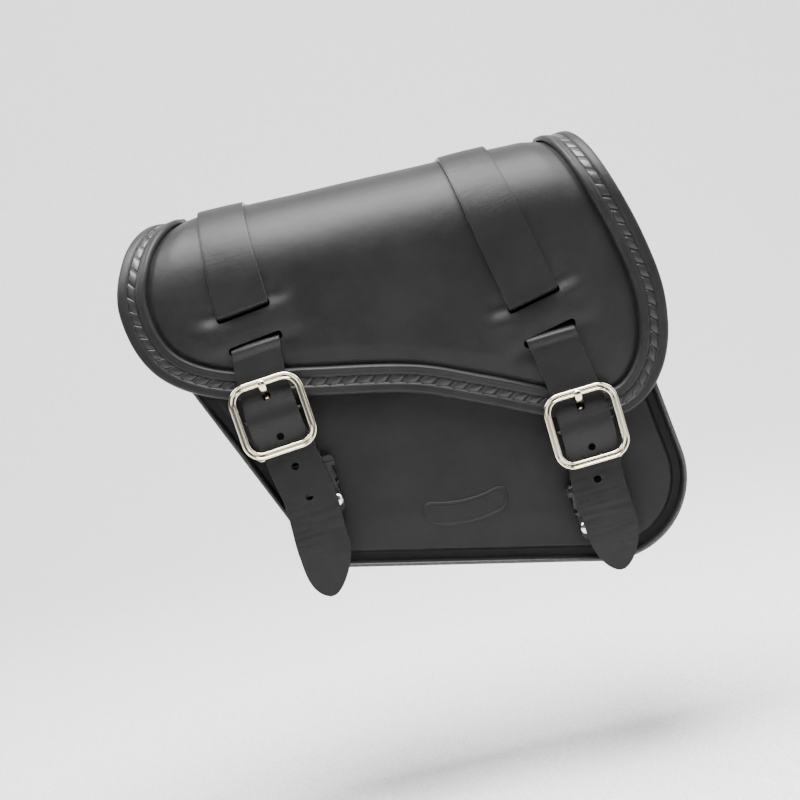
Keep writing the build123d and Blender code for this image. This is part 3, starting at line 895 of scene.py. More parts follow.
@dataclass
class Flap:
    """The roll-over flap with its laced border."""

    shape: FlapShape
    closures: Sequence[Closure]
    finishes: Finishes
    wall: float = 3.5 * MM
    strip: float = 2.5 * MM
    strip_wall: float = 0.9 * MM
    band_wall: float = 1.5 * MM
    slot_width: float = 37 * MM
    slot_height: float = 5.6 * MM
    pitch: float = 10.0 * MM
    channel: float = 6.2 * MM
    slant: float = 4.2 * MM
    border_start: float = 18 * MM
    edge_drop: float = 0.7 * MM
    strip_columns: int = 34
    strip_rows: int = 620
    bead_columns: int = 5

    def build(self) -> None:
        """Makes the flap's leather, its border strip, the lacing and the hinging band."""
        self.leather()
        self.border()
        self.lacing()
        self.fold()

    def fold(self) -> None:
        """The thin band inside the back that bridges the fold between the body and the flap."""
        low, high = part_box("hinge_band")
        reach = self.shape.roof.start + 9 * MM - low.z

        def place(u: float, v: float) -> Vector:
            """A point of the band's outer face, its rows from the back panel up to the flap."""
            x = high.x - 0.5 * MM - (high.x - low.x - MM) * u
            return Vector((x, high.y - 0.12 * MM, low.z + reach * v))

        piece = sheet_on("hinge_fold", 40, 44, place)
        give_wall(piece, self.band_wall, self.finishes.body, self.finishes.edge, 0.0)
        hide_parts("hinge_band")
        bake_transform(piece)

    def swell(self, spot: Vector) -> float:
        """How far the leather stands off its plain shape at a flat point.

        Args:
            spot: X and length along the roof.

        Returns:
            The height, below zero for a dent.
        """
        roof, border = self.shape.roof, self.shape.border
        inside = self.shape.from_edge(spot)
        ahead = smoothstep(spot.y, roof.flat + 10 * MM, roof.roll)
        height = ahead * 2.0 * MM * smoothstep(inside, border + 1 * MM, border + 16 * MM)
        height -= ahead * 1.3 * MM * bump_at(inside - border - 0.9 * MM, 0, 1.7 * MM, 1)
        for closure in self.closures:
            height += self.pucker(closure, spot)
        ripple = noise.noise(Vector((spot.x, spot.y, 0)) * 22.0)
        return height + ahead * 0.5 * MM * ripple

    def pucker(self, closure: Closure, spot: Vector) -> float:
        """How the leather is pushed up and drawn in round one strap's two slots.

        Args:
            closure: The strap's closure.
            spot: X and length along the roof.

        Returns:
            The height.
        """
        height, half, lean = 0.0, self.slot_width / 2, closure.bridge_lean()
        drops = [self.shape.roof.length_at_drop(slot.y) for slot in closure.slots()]
        for index, slot in enumerate(closure.slots()):
            dx, ds = spot.x - slot.x, spot.y - drops[index]
            dx, ds = dx * math.cos(lean) - ds * math.sin(lean), ds * math.cos(lean) + dx * math.sin(lean)
            if abs(dx) > 60 * MM or abs(ds) > 50 * MM:
                continue
            level = -1 if index else 1
            for sign in (-1, 1):
                aside = sign * dx - half
                swelling = bump_at(aside - 6.5 * MM, ds - level * 5.0 * MM, 8.5 * MM, 6 * MM)
                dent = bump_at(aside - 3 * MM, ds + level * 3.5 * MM, 6 * MM, 4.5 * MM)
                height += (3.0 - index) * MM * swelling
                height -= (2.2 - index) * MM * dent
            if index == 0:
                across = smoothstep(half + 5 * MM - abs(dx), 0, 10 * MM)
                height += 1.6 * MM * across * bump_at(0, ds - 12 * MM, 1, 6 * MM)
        return height

    def leather(self) -> None:
        """The flap's leather, dented round the slots, with the slots cut through."""
        patch, roof = self.shape.patch(), self.shape.roof

        def place(u: float, v: float) -> Vector:
            """A point of the flap's outer face, the rows closer together near the outline."""
            u -= 0.5 * math.sin(math.tau * u) / math.tau
            v += 0.45 * (v * v - v)
            flat = patch(u, v)
            return roof.at(flat.x, max(0.0, flat.y), self.swell(flat))

        piece = sheet_on("flap_leather", 200, 150, place)
        give_wall(piece, self.wall, self.finishes.flap, self.finishes.edge, 0.0)
        for closure in self.closures:
            for slot in closure.slots():
                carve(piece, self.slot(closure, slot))
        smooth(piece, 35)
        finish_piece(piece, "flap", "leather_flap", "flap")

    def slot(self, closure: Closure, place: Vector) -> Object:
        """The cutter of one slot, given as X and drop of its middle."""
        cutter = block("slot_cutter", Vector((self.slot_width, 36 * MM, self.slot_height)), 2.0 * MM)
        turn = Matrix.Rotation(-closure.bridge_lean(), 4, "Y")
        spot = Vector((place.x, -self.shape.roof.out, self.shape.roof.top - place.y))
        cutter.data.transform(Matrix.Translation(spot) @ turn)
        return cutter

    def border(self) -> None:
        """The raised strip along the flap's edge."""
        roof = self.shape.roof
        line = self.shape.rim(roof.flat + self.border_start)
        length = (len(line) - 1) * self.shape.step

        def place(u: float, v: float) -> Vector:
            """A point of the strip's outer face, its columns closer together at both edges."""
            depth = (u + 0.75 * math.sin(math.tau * u) / -math.tau) * self.shape.border
            flat = self.inset(line, v, depth)
            ends = smoothstep(min(v, 1 - v) * length, 0.0, 4 * MM)
            return roof.at(flat.x, flat.y, 0.05 * MM + self.proud(depth) * ends)

        piece = sheet_on("flap_border_strip", self.strip_columns, self.strip_rows, place)
        give_wall(piece, self.strip_wall, self.finishes.border, self.finishes.edge, 0.0)
        pick(piece)
        piece.data.materials.append(self.finishes.bead)
        self.dress_bead(piece)
        finish_piece(piece, "flap", "leather_border", "flap_border")

    def proud(self, depth: float) -> float:
        """How far the strip stands off the flap at a depth inside the cut edge."""
        width, round_off = self.shape.border, 1.5 * MM
        height = self.strip - self.edge_drop
        height += 0.45 * MM * bump_at(width - depth - 1.4 * MM, 0, 0.9 * MM, 1)
        sunk = smoothstep(self.channel / 2 + 0.8 * MM - abs(depth - self.middle()), 0, 1.0 * MM)
        height -= 1.3 * MM * sunk
        edge = min(depth, width - depth)
        if edge < round_off:
            height *= math.sqrt(max(0.0, 1 - (1 - edge / round_off) ** 2))
        return height

    def middle(self) -> float:
        """Depth of the lacing's middle line inside the cut edge."""
        return self.shape.border * 0.5

    def dress_bead(self, piece: Object) -> None:
        """Gives the strip's rounded inner and outer edges the lighter bead material: partly burnished finish,
        partly painted highlight along the ridges.
        """
        width = self.strip_columns + 1
        face_end = (self.strip_rows + 1) * width
        for polygon in piece.data.polygons:
            if max(polygon.vertices) >= face_end:
                continue
            column = min(polygon.vertices) % width
            if column < self.bead_columns or column > width - 3 - self.bead_columns:
                polygon.material_index = 2

    def inset(self, line: Sequence[Vector], share: float, depth: float) -> Vector:
        """A flat point a depth inside the outline.

        Args:
            line: The outline, from the front of the bag round to its rear.
            share: Where along it.
            depth: How far inside.

        Returns:
            The flat point.
        """
        span = 4.0 / len(line)
        way = heading(line, share, span)
        return along(line, share) + Vector((way.y, -way.x, 0)) * depth

    def lacing(self) -> None:
        """The lace: a row of cushions between two rows of holes, each tied across on the slant; the holes are
        near-black blobs of painted shade, not cuts.
        """
        roof = self.shape.roof
        line = self.shape.rim(roof.flat + self.border_start)
        length = (len(line) - 1) * self.shape.step
        count = round(length / self.pitch)
        shares = [(index + 0.5) / count for index in range(count)]
        pad = block("lace_pad", Vector((self.pitch - 1.6 * MM, self.channel - 0.6 * MM, 2.2 * MM)), 0.9 * MM)
        for vertex in pad.data.vertices:
            vertex.co.x += self.slant * vertex.co.y / self.channel
        pad.data.materials.append(self.finishes.lace)
        smooth(pad, 60)
        lift = self.strip - 1.75 * MM
        lace = repeated("border_lacing", pad, [self.seat(line, t, self.middle(), lift) for t in shares])
        finish_piece(lace, "flap", "leather_border")
        alone()
        # Each hole is a near-black blob laid on the strip, not cut: painted shade inside the hole.
        bpy.ops.mesh.primitive_uv_sphere_add(segments=10, ring_count=6, radius=1.0 * MM)
        hole = named("lace_hole_shade")
        hole.data.transform(Matrix.Diagonal((1.5, 1.0, 0.45, 1.0)))
        hole.data.materials.append(self.finishes.hole)
        seats = []
        for index in range(count):
            for sign in (-1, 1):
                share = (index + 1.0 + sign * self.slant / 2 / self.pitch) / count
                depth = self.middle() - sign * (self.channel / 2 + 0.1 * MM)
                seats.append(self.seat(line, share, depth, self.strip - self.edge_drop))
        holes = repeated("border_lace_hole_shades", hole, seats)
        finish_piece(holes, "flap", "leather_border")

    def seat(self, line: Sequence[Vector], share: float, depth: float, lift: float) -> Matrix:
        """Place and turn of a small thing on the border.

        Args:
            line: The outline.
            share: Where along it.
            depth: How far inside.
            lift: Height over the flap's face.

        Returns:
            Its matrix, X along the edge and Z out of the leather.
        """
        roof = self.shape.roof
        here = self.inset(line, share, depth)
        gap = 1.5 / len(line)
        ahead = self.inset(line, share + gap, depth)
        behind = self.inset(line, share - gap, depth)
        spot = roof.at(here.x, here.y, lift)
        way = (roof.at(ahead.x, ahead.y, lift) - roof.at(behind.x, behind.y, lift)).normalized()
        up = (roof.at(here.x, here.y, lift + MM) - spot).normalized()
        side = up.cross(way)
        return Matrix.Translation(spot) @ Matrix((way, side, up)).transposed().to_4x4()


@dataclass
class Strap:
    """One closing strap: the part over the flap and the free part with its tail."""

    closure: Closure
    roof: Roof
    finishes: Finishes
    width: float = 35 * MM
    wall: float = 3.5 * MM
    edge: float = 0.5 * MM
    rear_out: float = 20 * MM
    lower_in: float = 116.4 * MM
    hump: float = 4.9 * MM
    tip: float = 34 * MM
    hole_radius: float = 2.5 * MM
    hole_first: float = -14.5 * MM
    hole_pitch: float = 22 * MM

    def build(self) -> None:
        """Makes both parts of the strap."""
        self.over()
        self.free()

    def over(self) -> None:
        """The part over the top, from its riveted rear end to where it turns in at the upper slot."""
        closure, roof = self.closure, self.roof
        end = roof.length_at_drop(closure.slot.y) + 3.0 * MM
        start = roof.flat + self.rear_out - roof.back_radius
        lean = closure.top_lean

        def place(u: float, v: float) -> Vector:
            """A point of the strap's outer face, from the slot at v = 0 to the rear end."""
            along_it = end + (start - end) * v
            widening = smoothstep(along_it, roof.roll, end)
            half = closure.top_half + (self.width / 2 - closure.top_half) * widening
            across = (2 * u - 1) * half
            turned = lean + (closure.bridge_lean() - lean) * smoothstep(along_it, end - 30 * MM, end)
            s = along_it - across * math.sin(turned)
            dive = smoothstep(end - along_it, 0.0, 4 * MM)
            lift = (self.wall + 0.5 * MM) * dive - 4.6 * MM * (1 - dive)
            rise = roof.at(0, along_it).z - (roof.top - closure.slot.y)
            x = closure.slot.x - rise * math.tan(lean) + across * math.cos(turned)
            cup = 0.25 * MM * (2 * u - 1) ** 2
            crown = 1.7 * MM * smoothstep(along_it, roof.roll - 12 * MM, roof.roll + 18 * MM)
            return roof.at(x, s, lift - cup + crown * dive)

        piece = sheet_on(f"strap_{closure.side}_over", 14, 120, place)
        give_wall(piece, self.wall, self.finishes.strap, self.finishes.edge, self.edge)
        finish_piece(piece, "flap", "leather_strap", f"strap_{closure.side}_upper")

    def depth(self, up: float, leave: float) -> float:
        """How far out the free part's inner face lies.

        Args:
            up: Place along the strap from the centre bar.
            leave: Where the strap leaves the lower slot.

        Returns:
            The depth out from the back face.
        """
        level = self.lower_in
        over_flap = self.roof.out + 1.2 * MM
        keys = [
            (-self.closure.tail, level - 0.3 * MM), (-self.closure.tail * 0.72, level + 1.0 * MM),
            (-26 * MM, level), (-21 * MM, level + 0.1 * MM), (0.0, level + self.hump),
            (20.5 * MM, level), (27 * MM, level), (leave - 8 * MM, over_flap + 1.8 * MM),
            (leave - 1.5 * MM, over_flap + 0.2 * MM), (leave + 5 * MM, over_flap - 7.5 * MM),
        ]
        return profile(keys, up)

    def half(self, up: float) -> float:
        """Half the free part's width at a place along it, which closes in at the pointed tip."""
        share = min(1.0, max(0.0, (up + self.closure.tail) / self.tip))
        waist = 1.0 - 0.06 * smoothstep(up, 0.0, 30 * MM)
        return self.width / 2 * waist * (1 - (1 - share) ** 2) ** 0.58

    def aside(self, up: float, leave: Vector) -> float:
        """How far the strap's middle line sways beside the closure's line.

        Args:
            up: Place along the strap from the centre bar.
            leave: Where the strap leaves the lower slot, across and up.

        Returns:
            The sway.
        """
        if up > 0:
            return leave.x * smoothstep(up, 14 * MM, leave.y + 14 * MM) * 1.12
        return MM * profile([(place * MM, sway) for place, sway in self.closure.sway], up)

    def free(self) -> None:
        """The part from the lower slot through the buckle to the tip, with its punched holes."""
        closure = self.closure
        leave = closure.leave(self.roof.top)
        low, high = -closure.tail + 0.2 * MM, leave.y + 4.5 * MM

        def place(u: float, v: float) -> Vector:
            """A point of the strap's outer face, from the tip at v = 0 to the slot."""
            shaped = v + 0.5 * (v ** 1.8 - v)
            up = low + (high - low) * shaped
            half = self.half(up)
            across = (2 * u - 1) * half
            crease = noise.noise(Vector((across * 30, up * 330, closure.tail * 100)))
            crease *= 0.28 * MM * bump_at(0, up + closure.tail * 0.6, 1, 16 * MM)
            cup = 0.6 * MM * (across / (self.width / 2)) ** 2
            curl = 0.7 * MM * across / (self.width / 2) * smoothstep(-up, 0.5 * closure.tail, closure.tail)
            out = self.depth(up, leave.y) + self.wall + crease - cup + curl
            return closure.at(across + self.aside(up, leave), out, up)

        piece = sheet_on(f"strap_{closure.side}_free", 28, 230, place)
        give_wall(piece, self.wall, self.finishes.strap, self.finishes.edge, self.edge)
        for index in range(closure.punched):
            carve(piece, self.punch(self.hole_first - index * self.hole_pitch))
        carve(piece, self.prong_slot())
        carve(piece, self.prong_pocket())
        smooth(piece, 35)
        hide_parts(f"strap_{closure.side}_lower")
        start = closure.at(leave.x, self.lower_in, leave.y - 2 * MM)
        end = closure.at(0, self.lower_in, 27 * MM)
        closure.body
        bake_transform(piece)
        LOG.info("%s blends from flap to %s", piece.name, closure.body)

    def prong_slot(self) -> Object:
        """The cutter of the oblong hole that the prong comes out of."""
        cutter = block("prong_slot", Vector((5.6 * MM, 40 * MM, 8.4 * MM)), 1.9 * MM)
        cutter.data.transform(self.closure.seat(0, self.lower_in, 15.2 * MM))
        return cutter

    def prong_pocket(self) -> Object:
        """The cutter of the relief behind the strap, where the prong lies."""
        low, high, face = -5 * MM, 11.8 * MM, self.lower_in + 5.2 * MM
        cutter = block("prong_pocket", Vector((6.0 * MM, 20 * MM, high - low)), 0.6 * MM)
        cutter.data.transform(self.closure.seat(0, face - 10 * MM, (low + high) / 2))
        return cutter

    def punch(self, up: float) -> Object:
        """The cutter of one round hole, at a place along the strap."""
        alone()
        bpy.ops.mesh.primitive_cylinder_add(vertices=28, radius=self.hole_radius, depth=40 * MM)
        cutter = named("punch")
        aside = self.aside(up, self.closure.leave(self.roof.top))
        centre = self.closure.at(aside, self.lower_in + self.wall, up)
        cutter.data.transform(Matrix.Translation(centre) @ Matrix.Rotation(math.pi / 2, 4, "X"))
        return cutter


@dataclass
class Buckle:
    """A plated buckle: double-ridged frame, centre bar, wire loop and prong."""

    closure: Closure
    finishes: Finishes
    width: float = 51 * MM
    height: float = 52 * MM
    bar: float = 5.2 * MM
    thick: float = 4 * MM
    radius: float = 13 * MM
    frame_in: float = 120.2 * MM
    clip_mid: float = 112.3 * MM

    def build(self) -> None:
        """Makes the frame, with what is fixed to it, and the prong."""
        side = self.closure.side
        hidden = joined(f"buckle_{side}_bar", self.cross())
        # The centre bar and lugs get near-black metal: painted shade for parts sitting in the strap's shadow.
        dress(hidden, self.finishes.painted_bar_shade)
        finish_piece(hidden, self.closure.body, "nickel")
        metal = joined(f"buckle_{side}", [self.rim(), self.wire()])
        dress(metal, self.finishes.nickel)
        finish_piece(metal, self.closure.body, "nickel", f"buckle_frame_{side}")
        prong = self.prong()
        prong.data.materials.append(self.finishes.nickel)
        finish_piece(prong, f"prong_{side}", "nickel", f"prong_{side}")

    @property
    def window(self) -> tuple[float, float]:
        """Half the width and half the height of the opening inside the rim."""
        return self.width / 2 - self.bar, self.height / 2 - self.bar

    def outline(self) -> list[Vector]:
        """The rim's middle line: straight sides and round corners."""
        w, h = (self.width - self.bar) / 2, (self.height - self.bar) / 2
        r = self.radius - self.bar / 2
        points = []
        corners = ((0, w - r, h - r), (90, r - w, h - r), (180, r - w, r - h), (270, w - r, r - h))
        for start, cx, cz in corners:
            for step in range(13):
                turn = math.radians(start + 90 * step / 12)
                points.append(Vector((cx + r * math.cos(turn), 0, cz + r * math.sin(turn))))
        return even(points + [points[0]], 0.5 * MM)

    def rim(self) -> Object:
        """The rim, with a groove between its outer and inner ridges."""
        line = self.outline()
        middle = self.frame_in + self.thick / 2

        def place(t: float, q: float) -> Vector:
            """A point of the rim's surface."""
            spot = along(line, t)
            way = (along(line, (t + 0.004) % 1.0) - along(line, (t - 0.004) % 1.0)).normalized()
            outward = Vector((way.z, 0, -way.x))
            turn = math.tau * q
            a, b = math.cos(turn), math.sin(turn)
            across = math.copysign(abs(a) ** 0.75, a) * self.bar / 2
            height = math.copysign(abs(b) ** 0.75, b) * self.thick / 2
            upright = abs(way.z)
            if b > 0:
                height -= (1.9 - 1.0 * upright) * MM * bump_at(across + 0.1 * MM, 0, 0.6 * MM, 1)
            spot = spot + outward * across
            return self.closure.at(spot.x, middle + height, spot.z)

        return ring("rim", place, 180, 40)

    def cross(self) -> list[Object]:
        """The centre bar behind the strap and the two lugs that carry it."""
        closure = self.closure
        reach = self.window[0] + 2 * MM
        depth = -closure.bar.y
        away = (closure.at(0, depth + MM, 0) - closure.at(0, depth, 0)).normalized()
        up = (closure.at(0, depth, MM) - closure.at(0, depth, 0)).normalized()

        def place(t: float) -> tuple[Vector, Vector, Vector]:
            """The bar's path and its half axes."""
            return closure.at(reach * (2 * t - 1), depth, 0), away, up

        pieces = [rod("centre_bar", place, (1.3 * MM, 1.3 * MM), rings=12, sides=16)]
        for sign in (-1, 1):
            lug = block("lug", Vector((4.4 * MM, self.frame_in - depth + 2.6 * MM, 6 * MM)), 0.8 * MM)
            across = sign * (self.window[0] + 2.4 * MM)
            lug.data.transform(closure.seat(across, (self.frame_in + depth) / 2, 0))
            pieces.append(lug)
        return pieces

    def wire(self) -> Object:
        """The thin loop below the frame, behind the strap's tail."""
        half, begin, low = 19.4 * MM, self.frame_in + 1.0 * MM, -27 * MM
        start = -(self.window[1] - 1.5 * MM)
        corners = [(-half, begin, start), (-half, begin - 1.2 * MM, start - 2.5 * MM),
                   (-half, self.clip_mid + 2.2 * MM, low + 1.8 * MM), (-half + 2.4 * MM, self.clip_mid, low),
                   (half - 2.4 * MM, self.clip_mid, low), (half, self.clip_mid + 2.2 * MM, low + 1.8 * MM),
                   (half, begin - 1.2 * MM, start - 2.5 * MM), (half, begin, start)]
        line = smooth_line([self.closure.at(*corner) for corner in corners], 0.6 * MM)

        def place(t: float) -> tuple[Vector, Vector, Vector]:
            """The wire's path and two directions across it."""
            way = heading(line, t, 0.02)
            first = way.cross(Vector((0.3, 1, 0.2))).normalized()
            return along(line, t), first, way.cross(first)

        return rod("wire_loop", place, (0.95 * MM, 0.95 * MM), rings=90, sides=12)

    def prong(self) -> Object:
        """The prong: an eye round the centre bar and a tongue bent over the rim's upper bar."""
        closure = self.closure
        depth = -closure.bar.y
        rest = self.frame_in + self.thick + 0.9 * MM
        run = self.window[1]
        keys = [Vector((0, depth + 1.2 * MM, 1.6 * MM)), Vector((0, depth + 0.2 * MM, 7 * MM)),
                Vector((0, depth - 0.2 * MM, run - 7.4 * MM)), Vector((0, rest - 1.4 * MM, run - 2.2 * MM)),
                Vector((0, rest, run + 0.8 * MM)), Vector((0, rest - 0.2 * MM, run + 3.2 * MM)),
                Vector((0, rest - 1.3 * MM, run + 4.7 * MM))]
        line = smooth_line([closure.at(*key) for key in keys], 0.4 * MM)
        across = (closure.at(MM, 0, 0) - closure.at(0, 0, 0)).normalized()

        def place(t: float) -> tuple[Vector, Vector, Vector]:
            """The tongue's path and its half axes."""
            way = heading(line, t, 0.02)
            return along(line, t), across, way.cross(across)

        tongue = rod(f"prong_{closure.side}_tongue", place, (2.4 * MM, 1.05 * MM), 0.8, 60, 24)

        def eye(t: float, q: float) -> Vector:
            """A point of the eye."""
            turn, section = math.tau * t, math.tau * q
            reach = 1.7 * MM + 0.35 * MM * math.cos(section)
            side = math.copysign(abs(math.sin(section)) ** 0.5, math.sin(section)) * 2.5 * MM
            return closure.at(side, depth + reach * math.cos(turn), reach * math.sin(turn))

        return joined(f"prong_{closure.side}_shaped", [tongue, ring("eye", eye, 32, 16)])


@dataclass
class Body:
    """The leather box under the flap: front panel, badge and seams."""

    closures: Sequence[Closure]
    finishes: Finishes
    top: float
    out: float
    panel_wall: float = 2.5 * MM
    badge_wall: float = 0.8 * MM
    # Band of distances inside the outline whose faces get the near-black painted groove shade.
    groove: tuple = (0.8 * MM, 7.6 * MM)
    seam_step: float = 0.5 * MM
    corners: tuple = ((-127, 36, 6), (-152, 84, 40), (-82, 244, 32), (176, 298, 53), (136, 36, 6))
    stitch: float = 5.5 * MM

    def outline(self) -> list[Vector]:
        """The body's outline with round corners, as X and Z.

        Returns:
            Points along it from the top front corner, round the bottom, to the top rear corner.
        """
        spots = [Vector((x * MM, 0, self.top - drop * MM)) for x, drop, _ in self.corners]
        radii = [radius * MM for _, _, radius in self.corners]
        points: list[Vector] = []
        for index, (spot, radius) in enumerate(zip(spots, radii)):
            before = (spots[index - 1] - spot).normalized()
            after = (spots[(index + 1) % len(spots)] - spot).normalized()
            half = before.angle(after) / 2
            cut = radius / math.tan(half)
            centre = spot + (before + after).normalized() * (radius / math.sin(half))
            first, last = spot + before * cut - centre, spot + after * cut - centre
            steps = max(4, round(radius / (1.5 * MM)))
            for step in range(steps + 1):
                arm = first.slerp(last, step / steps)
                points.append(centre + arm.normalized() * radius)
        return points

    def build(self) -> None:
        """Makes the front panel, the badge and the seams."""
        self.badge(self.panel())
        self.seams()

    def rise(self, spot: Vector, inside: float) -> float:
        """How far the moulded front stands off its flat plane.

        Args:
            spot: X and Z of the point.
            inside: Distance from the outline.

        Returns:
            The height.
        """
        drop = self.top - spot.z
        low = smoothstep(drop, 118 * MM, 150 * MM)
        height = -2.8 * MM * smoothstep(inside, 0.3 * MM, 1.6 * MM)
        height += 3.6 * MM * smoothstep(inside, 6.2 * MM, 9.4 * MM)
        dome = 2.2 * MM * smoothstep(inside, 9 * MM, 34 * MM)
        for closure in self.closures:
            anchor = closure.at(0, 0, -62 * MM)
            dome *= 1 - 0.95 * bump_at(spot.x - anchor.x, spot.z - anchor.z, 24 * MM, 26 * MM)
        sag = 0.5 * MM * noise.noise(spot * 16.0)
        return low * (height + dome + sag * smoothstep(inside, 8 * MM, 20 * MM)) - 0.1 * MM * (1 - low)

    def panel(self) -> KDTree:
        """The moulded front panel.

        Returns:
            A finder for distances from the body's outline.
        """
        points = self.outline()
        finder = finder_of(even(points + [points[0]], 0.4 * MM))
        loop = even(points + [points[0]], 1.0 * MM)

        def nearest(x: float, drop: float) -> int:
            """Index of the outline's point nearest to a place."""
            target = Vector((x * MM, 0, self.top - drop * MM))
            return min(range(len(loop) - 1), key=lambda i: (loop[i] - target).length)

        def run(a: int, b: int) -> list[Vector]:
            """The outline from one index on to another."""
            part = loop[a:b + 1] if a <= b else loop[a:-1] + loop[:b + 1]
            return even(part, 1.0 * MM)

        top_front, heel = nearest(-127, 36), nearest(-84, 238)
        toe, top_rear = nearest(152, 276), nearest(131, 36)
        left = list(reversed(run(top_front, heel)))
        front = run(heel, toe)
        right = run(toe, top_rear)
        back = list(reversed(run(top_rear, top_front)))
        patch = coons(front, back, left, right)

        def place(u: float, v: float) -> Vector:
            """A point of the panel's outer face, the rows closer together near the outline."""
            u -= 0.6 * math.sin(math.tau * u) / math.tau
            v -= 0.6 * math.sin(math.tau * v) / math.tau
            spot = patch(u, v)
            inside = finder.find(spot)[2]
            return Vector((spot.x, -(self.out + self.rise(spot, inside)), spot.z))

        piece = sheet_on("front_panel_leather", 210, 180, place)
        give_wall(piece, self.panel_wall, self.finishes.panel, self.finishes.edge, 0.0)
        # Faces in the groove band get near-black leather: painted shade in the recess beside the welt.
        piece.data.materials.append(self.finishes.groove)
        for polygon in piece.data.polygons:
            inside = finder.find(Vector((polygon.center.x, 0, polygon.center.z)))[2]
            if self.groove[0] < inside < self.groove[1]:
                polygon.material_index = 2
        finish_piece(piece, "root", "leather_body", "front_panel")
        return finder

    def badge(self, finder: KDTree) -> None:
        """A blank crescent badge with a raised rim, pressed on the front panel."""
        centre, half, rise, tall = Vector((17.5 * MM, 0, self.top - 228 * MM)), 29 * MM, 5.5 * MM, 17 * MM

        def flat(u: float, v: float) -> tuple[Vector, float]:
            """A point of the badge and its distance from the badge's edge."""
            across = 2 * u - 1
            end = math.sqrt(max(0.0, 1 - max(0.0, abs(across) - 0.72) ** 2 / 0.28 ** 2))
            height = tall / 2 * (0.12 + 0.88 * end)
            offset = (2 * v - 1) * height
            x = centre.x + across * half
            z = centre.z + rise * (across ** 2 - 0.35) + offset
            edge = min(height - abs(offset), (1 - abs(across)) * half)
            return Vector((x, 0, z)), edge

        def place(u: float, v: float) -> Vector:
            """A point of the badge's face."""
            spot, edge = flat(u, v)
            inside = finder.find(spot)[2]
            base = self.out + self.rise(spot, inside)
            lift = 0.15 * MM + 0.75 * MM * bump_at(edge - 1.1 * MM, 0, 0.55 * MM, 1)
            lift += 0.3 * MM * bump_at(edge - 3.0 * MM, 0, 0.35 * MM, 1)
            return Vector((spot.x, -(base + lift), spot.z))

        piece = sheet_on("blank_badge", 150, 56, place)
        give_wall(piece, self.badge_wall, self.finishes.panel, self.finishes.panel, 0.0)
        finish_piece(piece, "root", "leather_body")

    def seams(self) -> None:
        """Two rows of stitches round the gusset, beside the front and rear bindings."""
        points = self.outline()
        line = [p for p in even(points, self.seam_step) if p.z < self.top - 56 * MM]
        line = even(line, self.seam_step)
        length = (len(line) - 1) * self.seam_step
        count = round(length / self.stitch)
        side = Vector((0, 1, 0))
        for name, out in (("front_seam_stitches", self.out - 11 * MM), ("rear_seam_stitches", 13 * MM)):
            alone()
            bpy.ops.mesh.primitive_uv_sphere_add(segments=8, ring_count=6, radius=1.0)
            stitch = named("stitch")
            stitch.data.transform(Matrix.Diagonal((2.1 * MM, 0.5 * MM, 0.55 * MM, 1.0)))
            stitch.data.materials.append(self.finishes.thread)
            smooth(stitch, 80)
            seats = []
            for index in range(count):
                t = (index + 0.5) / count
                spot = along(line, t)
                way = heading(line, t, 0.003)
                up = way.cross(side)
                seat = Vector((spot.x, -out, spot.z)) + up * 0.1 * MM
                seats.append(Matrix.Translation(seat) @ Matrix((way, side, up)).transposed().to_4x4())
            row = repeated(name, stitch, seats)
            finish_piece(row, "root", "leather_body")


@dataclass
class Fittings:
    """The CAD pieces that keep their shape, as finished copies, some with rounded edges."""

    finishes: Finishes

    def build(self) -> None:
        """Rounds and dresses each of them."""
        f = self.finishes
        # The welts wear the lighter bead material: partly burnished edge, partly painted highlight on their
        # ridges.
        wear = {
            "back_panel": (f.body, 0.8), "gusset": (f.body, 0.0), "front_welt": (f.bead, 0.9),
            "rear_welt": (f.bead, 0.9), "mount_eyelets": (f.steel, 0.3),
            "socket_washers": (f.steel, 0.2), "socket_rivets": (f.rivet, 0.0), "strap_rivets": (f.rivet, 0.3),
        }
        for side in ("front", "rear"):
            wear[f"clip_link_{side}"] = (f.strap, 0.4)
            wear[f"anchor_tab_{side}"] = (f.body, 0.3)
            wear[f"clip_plug_{side}"] = (f.plastic, 0.0)
            wear[f"clip_socket_{side}"] = (f.plastic, 0.0)
            for hand in ("left", "right"):
                wear[f"clip_arm_{side}_{hand}"] = (f.plastic, 0.0)
        for name, (finish, edge) in wear.items():
            self.rounded(name, finish, edge * MM)
        dress(frame["nodes"]["back_stiffener"], f.board)

    def rounded(self, name: str, finish: Material, edge: float) -> None:
        """A finished copy of a CAD node, its edges rounded where a radius is given.

        Args:
            name: The node.
            finish: Its material.
            edge: Radius of its edges, 0 to leave them as they are.
        """
        node = frame["nodes"][name]
        piece = node.copy()
        piece.data = node.data.copy()
        piece.animation_data_clear()
        bpy.context.scene.collection.objects.link(piece)
        piece.name = piece.data.name = f"{name}_shaped"
        pick(piece)
        bpy.ops.object.mode_set(mode="EDIT")
        bpy.ops.mesh.select_all(action="SELECT")
        bpy.ops.mesh.remove_doubles(threshold=2e-6)
        bpy.ops.mesh.dissolve_limited(angle_limit=math.radians(1.0))
        bpy.ops.object.mode_set(mode="OBJECT")
        if edge:
            apply_modifier(piece, "BEVEL", width=edge, segments=3, limit_method="ANGLE",
                           angle_limit=math.radians(40), use_clamp_overlap=True)
        dress(piece, finish)
        smooth(piece)
        apply_modifier(piece, "WEIGHTED_NORMAL", weight=100, keep_sharp=True)
        body = next(b for b, nodes in frame["record"]["behaviour"]["bodies"].items() if name in nodes)
        slot = next(p["material_slot"] for p in frame["record"]["subparts"] if p["node"] == name)
        finish_piece(piece, body, slot, name)


